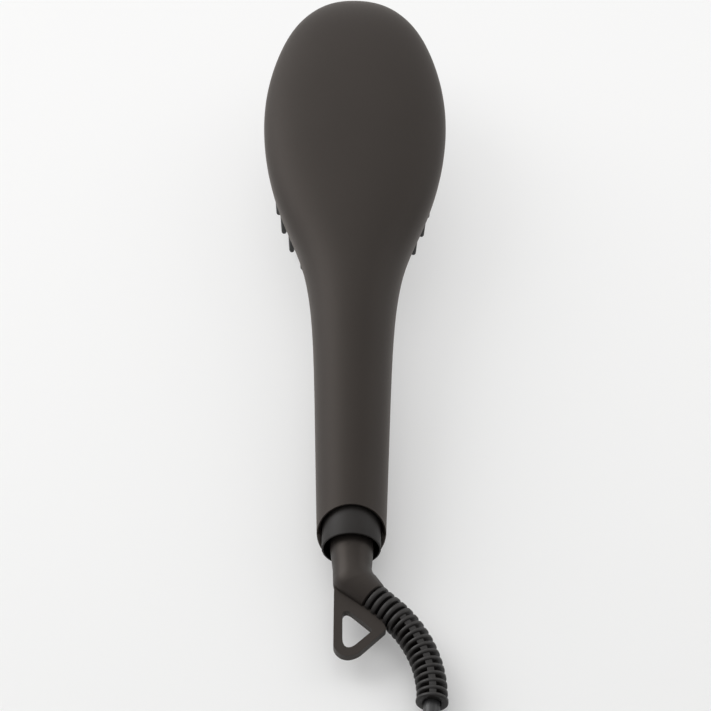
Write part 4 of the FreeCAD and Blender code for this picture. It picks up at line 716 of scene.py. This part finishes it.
def make_cord():
    """The lead from the sleeve to the plug, with its put-away coil, as one tube."""
    end, heading = boot_line(sleeve_end)
    start = BRUSH @ end / MM
    leaving = BRUSH.to_3x3() @ heading / MM
    turns = COIL_TURNS_IN + CLIMB_TURNS + COIL_TURNS_OUT
    coil = [coil_point(i / TURN_POINTS) for i in range(round(turns * TURN_POINTS) + 1)]
    beyond = coil[-1] - Vector((0, 2 * CORD_RADIUS, 0))
    route = [start, start + leaving * LEAD_STRAIGHT, *LEAD_ROUTE, *coil, beyond, *TAIL_ROUTE]
    line = spline_points(route, order=3, steps=LEAD_STEPS)
    to_coil = coil_centre() - start
    to_coil.z = 0
    room = to_coil.length - COIL_OUTER_RADIUS - CORD_RADIUS
    to_coil.normalize()
    turning = next(row for row, point in enumerate(line) if (point - start).dot(to_coil) > room)

    def corner(column, row):
        before, after = line[max(row - 1, 0)], line[min(row + 1, len(line) - 1)]
        direction = (after - before).normalized()
        place = ring_corner(line[row], direction, CORD_RADIUS, 2 * math.pi * column / LEAD_SIDES)
        if 0 < row < turning:
            # Rings that face the coil keep their shape as the sleeve turns
            place -= direction * ((place - line[row]).dot(to_coil) / direction.dot(to_coil))
        return place

    bm = close_ends(sheet_of(LEAD_SIDES, len(line) - 1, corner))
    cord = new_piece("mains_lead", bm, TABLE, "cord_jacket", ["cord_lead", "cord_coil", "cord_tail"],
                     sharp=60)
    points = [point * MM for point in line]
    near, far = start + to_coil * LEAD_HELD_SHARE * CORD_RADIUS, start + to_coil * room
    far * MM
    near * MM
    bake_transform(cord)
    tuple(points[0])


# Cord boot
elbow_turn = BOOT_TURN - NECK_LEAN
bend_reach = NECK_BEND * math.tan(elbow_turn / 2)
sleeve_length = RIB_COUNT * RIB_PITCH
BOOT_STRETCHES = [
    (NECK_ENTRY + NECK_REACH - bend_reach, 0),
    (NECK_BEND * elbow_turn, elbow_turn),
    (SHANK_LENGTH - bend_reach + SLEEVE_STRAIGHT, 0),
    (SLEEVE_BEND * SLEEVE_TURN, -SLEEVE_TURN),
    (sleeve_length - SLEEVE_STRAIGHT - SLEEVE_BEND * SLEEVE_TURN, 0),
]
elbow_start = BOOT_STRETCHES[0][0]
elbow_length = BOOT_STRETCHES[1][0]
sleeve_start = elbow_start + elbow_length + SHANK_LENGTH - bend_reach
sleeve_end = sleeve_start + sleeve_length


def boot_line(distance):
    """Point and direction on the boot's centre line, by distance from the neck's inner end."""
    point, heading = Vector((0, NECK_ENTRY, 0)), NECK_LEAN
    for length, turn in BOOT_STRETCHES:
        walked = min(distance, length)
        angle = turn * walked / length
        chord = walked if not turn else 2 * length / turn * math.sin(angle / 2)
        middle = heading + angle / 2
        point = point + Vector((math.sin(middle), -math.cos(middle), 0)) * chord
        heading += angle
        distance -= walked
    return point, Vector((math.sin(heading), -math.cos(heading), 0))


def make_neck():
    """The smooth elbow: a flared root in the collar, a waist, a mitred corner and a tapering shank."""
    before = [(0, NECK_RADIUS), (NECK_ENTRY, NECK_RADIUS)]
    for i in range(1, NECK_TAPER_STEPS + 1):
        share = i / NECK_TAPER_STEPS
        before.append((NECK_ENTRY + NECK_TAPER * share, NECK_RADIUS - (NECK_RADIUS - NECK_WAIST) * share))
    after = [(sleeve_start - SHANK_EDGE, SHANK_RADIUS), (sleeve_start, SHANK_TIP_RADIUS)]
    middle = NECK_LEAN + elbow_turn / 2
    mitre = Vector((-math.cos(middle), -math.sin(middle), 0)) / math.cos(elbow_turn / 2)

    def corner(column, row):
        angle = 2 * math.pi * column / NECK_SIDES
        share = (row - len(before)) / NECK_BEND_STEPS
        if 0 <= share <= 1:
            point, _ = boot_line(elbow_start + elbow_length * share)
            return point + (mitre * math.cos(angle) + UP * math.sin(angle)) * NECK_WAIST
        distance, radius = before[row] if share < 0 else after[row - len(before) - NECK_BEND_STEPS - 1]
        return ring_corner(*boot_line(distance), radius, angle)

    bm = close_ends(sheet_of(NECK_SIDES, len(before) + NECK_BEND_STEPS + len(after), corner))
    new_piece("boot_neck", bm, BRUSH, "boot_plastic", ["swivel_neck"], "swivel")


def rounded_outline(bm, corners):
    """A flat outline whose corners, each (x, y, reach), are rounded off over their reach."""
    verts = [bm.verts.new((x, y, 0)) for x, y, _ in corners]
    bm.faces.new(verts)
    for vert, (_, _, reach) in zip(verts, corners):
        if reach:
            bmesh.ops.bevel(bm, geom=[vert], offset=reach, offset_type="OFFSET", affect="VERTICES",
                            segments=CORNER_SEGMENTS, profile=0.5, material=-1)


def make_loop():
    """The flat hanging loop with its three-cornered hole."""
    shank, _ = boot_line(sleeve_start)
    bm = bmesh.new()
    rounded_outline(bm, [(LOOP_SIDE, LOOP_ROOT, 0), *LOOP_CORNERS, (shank.x, shank.y, 0), (0, LOOP_ROOT, 0)])
    rounded_outline(bm, LOOP_HOLE)
    bmesh.ops.delete(bm, geom=bm.faces[:], context="FACES_ONLY")
    filled = bmesh.ops.triangle_fill(bm, use_beauty=True, use_dissolve=False, edges=bm.edges[:])
    faces = [item for item in filled["geom"] if isinstance(item, bmesh.types.BMFace)]
    raised = bmesh.ops.extrude_face_region(bm, geom=faces)["geom"]
    bmesh.ops.translate(bm, verts=verts_of(raised), vec=(0, 0, LOOP_THICKNESS))
    bmesh.ops.translate(bm, verts=bm.verts, vec=(0, 0, -LOOP_THICKNESS / 2))
    merge(bm)
    loop = new_piece("hanging_loop", bm, BRUSH, "boot_plastic", ["swivel_neck"], "swivel")
    soften(loop, LOOP_EDGE)


def make_sleeve():
    """The ribbed sleeve: shallow grooves at first, then windows on both sides of a spine."""
    quarter = math.pi / 2
    spine = math.asin(SPINE_WIDTH / 2 / SLEEVE_SPINE)
    side = quarter - spine - SPINE_FLANK
    columns = [0]
    for middle in (quarter, 3 * quarter):
        columns += [middle - quarter + side * i / RIB_SIDE_COLUMNS for i in range(1, RIB_SIDE_COLUMNS + 1)]
        columns += [middle + spine * share for share in SPINE_SHARES]
        flank = middle + spine + SPINE_FLANK
        columns += [flank + side * i / RIB_SIDE_COLUMNS for i in range(RIB_SIDE_COLUMNS + 1)]

    def floor_before(rib):
        """The radius of the floor before a rib, beside the spine and on it."""
        return (SLEEVE_GROOVE, SLEEVE_GROOVE) if rib < CLOSED_RIB_COUNT else (SLEEVE_WINDOW, SLEEVE_SPINE)

    def even(place, radius):
        return place, radius, radius

    stops = [even(sleeve_start, SLEEVE_WINDOW), even(sleeve_start, SLEEVE_GROOVE)]
    for i in range(RIB_COUNT):
        width = CLOSED_RIB_WIDTH if i < CLOSED_RIB_COUNT else RIB_WIDTH
        first = sleeve_start + (i + 0.5) * RIB_PITCH - width / 2
        last = first + width
        at_end = i == RIB_COUNT - 1
        crown = SLEEVE_END_RADIUS if at_end else SLEEVE_RADIUS - SLEEVE_TAPER * i / (RIB_COUNT - 1)
        stops += [(first, *floor_before(i)), even(first, crown - RIB_EDGE), even(first + RIB_EDGE, crown)]
        stops += [even(last - RIB_EDGE, crown), even(last, crown - RIB_EDGE)]
        if not at_end:
            stops.append((last, *floor_before(i + 1)))
    stops += [even(last, SLEEVE_WINDOW + RIB_EDGE), even(last - RIB_EDGE, SLEEVE_WINDOW)]
    stops.append(even(last - SLEEVE_MOUTH, SLEEVE_WINDOW))

    def on_spine(angle):
        return min(abs(angle - quarter), abs(angle - 3 * quarter)) < spine + SPINE_FLANK / 2

    def radius_at(row, angle):
        return stops[row][2] if on_spine(angle) else stops[row][1]

    def corner(column, row):
        angle = columns[column]
        return ring_corner(*boot_line(stops[row][0]), radius_at(row, angle), angle)

    def finish_at(column, row):
        """The floors of grooves and windows lie in shade and get painted shade, a near-black finish."""
        middle = (columns[column] + columns[column + 1]) / 2
        return int(max(radius_at(row, middle), radius_at(row + 1, middle)) < SLEEVE_GROOVE + RIB_EDGE / 2)

    bm = close_ends(sheet_of(len(columns) - 1, len(stops) - 1, corner, finish_at))
    new_piece("ribbed_sleeve", bm, BRUSH, "boot_rubber", ["strain_relief"], "swivel", sharp=50,
              finishes=(FINISHES["boot_rubber"], PAINTED_SHADE_BLACK))


def make_inner_lead():
    """The length of lead inside the sleeve."""
    def corner(column, row):
        place = boot_line(sleeve_start + sleeve_length * row / INNER_LEAD_STEPS)
        return ring_corner(*place, CORD_RADIUS, 2 * math.pi * column / INNER_LEAD_SIDES)

    bm = close_ends(sheet_of(INNER_LEAD_SIDES, INNER_LEAD_STEPS, corner))
    new_piece("inner_lead", bm, BRUSH, "cord_jacket", ["cord_core"], "swivel", sharp=60)


# Case
def case_lines():
    """The case's side line (half width, place, fullness) and crown line (height, place)."""
    sides, crowns = [], []
    for i, width in enumerate(WIDTH_SHARES):
        place = STATION_HANDLE_SHARES[i] * HANDLE_LENGTH + STATION_HEAD_SHARES[i] * HEAD_LENGTH
        half = HANDLE_END_RADIUS + width * (HEAD_HALF_WIDTH - HANDLE_END_RADIUS)
        height = HEIGHT_HANDLE_SHARES[i] * HANDLE_END_RADIUS + HEIGHT_HEAD_SHARES[i] * CROWN_HEIGHT
        fullness = ROUND_SHARE + FULLNESS_SHARES[i] * (BACK_FULLNESS_SHARE - ROUND_SHARE)
        sides.append((half, place, fullness))
        crowns.append((height, place, 0))
    nose = HANDLE_LENGTH + HEAD_LENGTH
    sides.append((0, nose, BACK_FULLNESS_SHARE))
    crowns.append((0, nose, 0))
    return [spline_points(line, order=4, steps=CASE_LINE_STEPS) for line in (sides, crowns)]


def at_place(line, place):
    """The point of a line at a place along the handle."""
    for first, last in zip(line, line[1:]):
        if last.y >= place:
            return first.lerp(last, (place - first.y) / (last.y - first.y))
    return line[-1]


def arch(side, crown, turn):
    """A point of the arched section, from one edge (turn -1) over the crown (0) to the other (1)."""
    share = 1 - abs(turn)
    weights = ((1 - share) ** 2, 2 * share * (1 - share) * side.z, share**2)
    total = sum(weights)
    x = side.x * (weights[0] + weights[1]) / total
    y = (side.y * (weights[0] + weights[1]) + crown.y * weights[2]) / total
    z = crown.x * (weights[1] + weights[2]) / total
    return Vector((math.copysign(x, turn), y, z))


def make_case_back():
    """The smooth back of the handle and head, one shell with a slanted end."""
    sides, crowns = case_lines()
    first = next(i for i, point in enumerate(sides) if point.y > END_BLEND)

    def corner(column, row):
        turn = 2 * column / CASE_COLUMNS - 1
        if row >= first:
            return arch(sides[row], crowns[row], turn)
        rise = arch(at_place(sides, END_SETBACK), at_place(crowns, END_SETBACK), turn).z
        end = END_SETBACK + math.tan(END_SLANT) * rise
        place = end + (sides[first].y - end) * sides[row].y / sides[first].y
        return arch(at_place(sides, place), at_place(crowns, place), turn)

    bm = sheet_of(CASE_COLUMNS, len(sides) - 1, corner)
    case = new_piece("case_back", bm, BRUSH, "case_plastic", ["back_shell"], "brush")
    thicken(case, "wall", CASE_WALL, -1)
    soften(case, CASE_EDGE)


def make_collar():
    """The round collar that the boot turns in, with painted shade inside its rim."""
    outer, inner = COLLAR_EDGE * ROUND_MIDDLE, RECESS_EDGE * ROUND_MIDDLE
    bm = turned([
        (SPINDLE_RADIUS, COLLAR_LENGTH), (COLLAR_RADIUS, COLLAR_LENGTH),
        (COLLAR_RADIUS, COLLAR_EDGE), (COLLAR_RADIUS - outer, outer), (COLLAR_RADIUS - COLLAR_EDGE, 0),
        (RECESS_RADIUS + RECESS_EDGE, 0), (RECESS_RADIUS + inner, inner), (RECESS_RADIUS, RECESS_EDGE),
        (RECESS_RADIUS, RECESS_DEPTH), (SPINDLE_RADIUS, RECESS_DEPTH), (SPINDLE_RADIUS, COLLAR_LENGTH),
    ], COLLAR_SIDES)
    # Faces inside the recess take the near-black finish of painted shade
    for face in bm.faces:
        middle = face.calc_center_median()
        face.material_index = int(math.hypot(middle.x, middle.z) < RECESS_RADIUS + SHADE_MARGIN)
    new_piece("swivel_collar_ring", bm, BRUSH, "collar_plastic", ["swivel_collar"], "brush",
              finishes=(FINISHES["collar_plastic"], PAINTED_SHADE_BLACK))


# Pins and teeth
def solids_of(node):
    """The corners of each separate solid of a node, in the brush's frame."""
    bm = bmesh.new()
    bm.from_mesh(frame["nodes"][node].data)
    bmesh.ops.transform(bm, matrix=BRUSH.inverted(), verts=bm.verts)
    bmesh.ops.remove_doubles(bm, verts=bm.verts, dist=MERGE_DISTANCE)
    solids, seen = [], set()
    for start in bm.verts:
        if start in seen:
            continue
        seen.add(start)
        reached, waiting = [], [start]
        while waiting:
            vert = waiting.pop()
            reached.append(vert.co.copy())
            beside = [edge.other_vert(vert) for edge in vert.link_edges]
            waiting += [near for near in beside if near not in seen]
            seen.update(beside)
        solids.append(reached)
    bm.free()
    return solids


def extent(points, axis):
    """The lowest and highest place of some points along an axis."""
    places = [point[axis] for point in points]
    return min(places), max(places)


def rounded_rod(base, radius, tip, tip_radius):
    """A tapering rod along z from its base to a round tip."""
    profile = [(0, base), (radius, base)]
    centre = tip + tip_radius
    for i in range(ROD_TIP_STEPS + 1):
        angle = math.pi / 2 * i / ROD_TIP_STEPS
        profile.append((tip_radius * math.cos(angle), centre - tip_radius * math.sin(angle)))
    return turned(profile, ROD_SIDES, UP)


def stand_at(master, spots):
    """Copies of a shape at each spot, in one mesh."""
    shape = master.verts[:] + master.edges[:] + master.faces[:]
    for spot in spots[1:]:
        copy = bmesh.ops.duplicate(master, geom=shape)["geom"]
        bmesh.ops.translate(master, verts=verts_of(copy), vec=spot)
    bmesh.ops.translate(master, verts=verts_of(shape), vec=spots[0])
    return master


def make_rods(name, node, slot, radius, tip_radius, draw_in=0, lean=0):
    """Rounded rods in place of a node's pins, as long as they are, whose tips may lean in and back."""
    solids = solids_of(node)
    tip, base = extent(solids[0], 2)
    spots = [Vector((sum(extent(solid, 0)) / 2, sum(extent(solid, 1)) / 2, 0)) for solid in solids]
    bm = stand_at(rounded_rod(base, radius, tip, tip_radius), spots)
    for vert in bm.verts:
        share = (base - vert.co.z) / (base - tip)
        vert.co.x *= 1 - draw_in / HEAD_HALF_WIDTH * share
        vert.co.y -= lean * share
    new_piece(name, bm, BRUSH, slot, [node], "brush", sharp=50)


# Plug and tie on the lead
def join(bm, other):
    """Add one shape to another."""
    mesh = bpy.data.meshes.new("joined")
    other.to_mesh(mesh)
    other.free()
    bm.from_mesh(mesh)
    bpy.data.meshes.remove(mesh)
    return bm


def plug_shell(face):
    """The plug's waisted body, with grip ridges on its sides."""
    outline = []
    for along, widening, height in zip(PLUG_STATION_SHARES, PLUG_WIDTH_SHARES, PLUG_HEIGHT_SHARES):
        width = PLUG_NECK_WIDTH + widening * (PLUG_WIDTH - PLUG_NECK_WIDTH)
        outline.append((width / 2, face + along * PLUG_LENGTH, height * PLUG_THICKNESS / 2))
    line = spline_points(outline, order=3, steps=PLUG_LINE_STEPS)

    def rounded(value):
        return math.copysign(abs(value) ** (2 / PLUG_SQUARENESS), value)

    def corner(column, row):
        angle = 2 * math.pi * column / PLUG_SIDES
        width, y, height = line[row]
        if GRIP_START < y - face < GRIP_END:
            width -= GRIP_DEPTH * (1 - math.cos(2 * math.pi * (y - face - GRIP_START) / GRIP_PITCH)) / 2
        return Vector((width * rounded(math.cos(angle)), y, height * rounded(math.sin(angle))))

    return close_ends(sheet_of(PLUG_SIDES, len(line) - 1, corner))


def plug_relief():
    """The ribbed relief where the lead enters the plug."""
    pitch = PLUG_RELIEF_LENGTH / PLUG_RELIEF_RIBS
    profile = [(CORD_RADIUS, 0)]
    for i in range(PLUG_RELIEF_RIBS):
        crest = PLUG_RELIEF_TIP + (PLUG_RELIEF_RADIUS - PLUG_RELIEF_TIP) * (i + 0.5) / PLUG_RELIEF_RIBS
        profile += [(crest - depth, -(i + share) * pitch) for depth, share in PLUG_RIB_PROFILE]
    profile.append((CORD_RADIUS, -PLUG_RELIEF_LENGTH - PLUG_RELIEF_INSET))
    return turned(profile, PLUG_RELIEF_SIDES)


def make_plug():
    """The flat two-pin plug with its half-sleeved pins."""
    end = Vector(TAIL_ROUTE[-1])
    end.z = PLUG_THICKNESS / 2
    place = TABLE @ Matrix.Translation(end)
    face = -PLUG_RELIEF_LENGTH - PLUG_LENGTH
    body = join(plug_shell(face), plug_relief())
    plug = new_piece("two_pin_plug", body, place, "plug_rubber", ["plug_body"], "brush")
    soften(plug, PLUG_EDGE)
    spots = [Vector((side * PLUG_PIN_SPACING / 2, 0, 0)) for side in (-1, 1)]
    root = face + PLUG_PIN_INSIDE
    bare = face - PLUG_SLEEVE_LENGTH
    tip = face - PLUG_PIN_LENGTH
    bare_radius = PLUG_PIN_RADIUS - PLUG_SLEEVE_STEP
    bore = bare_radius - PLUG_SLEEVE_STEP
    profile = [(0, root), (bare_radius, root), (bare_radius, tip + PLUG_PIN_ROUND)]
    profile += [(PLUG_PIN_RADIUS * share, tip + rise) for share, rise in PLUG_PIN_TIP]
    pins = turned(profile, PLUG_PIN_SIDES)
    new_piece("plug_pin_pair", stand_at(pins, spots), place, "pin_metal", ["plug_pins"], "brush")
    profile = [(bore, root), (PLUG_PIN_RADIUS, root), (PLUG_PIN_RADIUS, bare + PLUG_SLEEVE_STEP)]
    profile += [(bare_radius, bare), (bore, bare)]
    sleeves = turned(profile, PLUG_PIN_SIDES)
    new_piece("plug_pin_sleeves", stand_at(sleeves, spots), place, "plug_rubber", ["plug_pins"], "brush",
              finishes=(PIN_SLEEVE,))


def make_tie():
    """The hook-and-loop strap round the coil, its end lapped over the top."""
    low, high = (Vector(corner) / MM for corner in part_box("cord_tie"))
    half = (high - low) / 2 - Vector((1, 0, 1)) * TIE_THICKNESS
    bm = bmesh.new()
    rounded_outline(bm, [(-half.x, -half.z, TIE_CORNER), (half.x, -half.z, TIE_CORNER),
                         (half.x, half.z, TIE_CORNER), (-half.x, half.z, TIE_CORNER)])
    bmesh.ops.delete(bm, geom=bm.faces[:], context="FACES_ONLY")
    lap = half.z + TIE_THICKNESS * TIE_LAP
    flap = [bm.verts.new((share * half.x, lap, 0)) for share in TIE_FLAP_SHARES]
    for pair in zip(flap, flap[1:]):
        bm.edges.new(pair)
    wide = bmesh.ops.extrude_edge_only(bm, edges=bm.edges[:])["geom"]
    bmesh.ops.translate(bm, verts=verts_of(wide), vec=(0, 0, 2 * half.y))
    bmesh.ops.translate(bm, verts=bm.verts, vec=(0, 0, -half.y))
    bmesh.ops.rotate(bm, verts=bm.verts, matrix=Matrix.Rotation(math.pi / 2, 3, "X"))
    bmesh.ops.recalc_face_normals(bm, faces=bm.faces)
    place = TABLE @ Matrix.Translation((low + high) / 2)
    tie = new_piece("strap_tie", bm, place, "tie_strap", ["cord_tie"], "brush", sharp=60)
    thicken(tie, "strap", TIE_THICKNESS, 1)


# Buttons on the front
def make_button(name, bars):
    """A dished button with a small mark."""
    solid = solids_of(name + "_button")[0]
    low, high = extent(solid, 2)
    y = sum(extent(solid, 1)) / 2
    wide = extent(solid, 0)[1]
    cap = max(point.x for point in solid if point.z < low + KEY_CAP_DEPTH)
    seat, top = extent([point for point in solid if point.x > wide - KEY_MARGIN], 2)
    stem = max(point.x for point in solid if point.z > high - KEY_MARGIN)
    profile = [(cap * share, low + depth) for share, depth in KEY_DISH]
    profile += [(cap - inset, low + drop) for inset, drop in KEY_RIM]
    profile += [(cap, seat), (wide, seat), (wide, top), (stem, top), (stem, high), (0, high)]
    place = BRUSH @ Matrix.Translation((0, y, 0))
    key = turned(profile, KEY_SIDES, UP)
    new_piece(name + "_key_cap", key, place, "button_plastic", [name + "_button"], name + "_key", sharp=50)
    marks = bmesh.new()
    spot = Matrix.Translation((0, 0, low + KEY_DISH[0][1] - MARK_SINK))
    for across, along in bars:
        size = Matrix.Diagonal((2 * across, 2 * along, MARK_THICKNESS, 1))
        bmesh.ops.create_cube(marks, size=1, matrix=spot @ size)
    mark = new_piece(name + "_mark", marks, place, "button_plastic", (), name + "_key",
                     finishes=(MARK_GREY,))
    soften(mark, MARK_EDGE)


set_camera()
lay_floor()
light_studio()
finish_nodes()
make_plug()
make_tie()
make_cord()
make_neck()
make_loop()
make_sleeve()
make_inner_lead()
make_case_back()
make_collar()
make_rods("guard_pin_ring", "guard_pins", "guard_nylon", GUARD_RADIUS, GUARD_TIP_RADIUS,
          GUARD_DRAW_IN, GUARD_LEAN)
make_rods("heated_tooth_field", "heated_teeth", "plate_aluminium", TOOTH_RADIUS, TOOTH_TIP_RADIUS)
make_rods("cool_tips", "tooth_caps", "tip_plastic", CAP_RADIUS, CAP_TIP_RADIUS)
for button, bars in KEY_MARKS.items():
    make_button(button, bars)

bpy.context.view_layer.update()
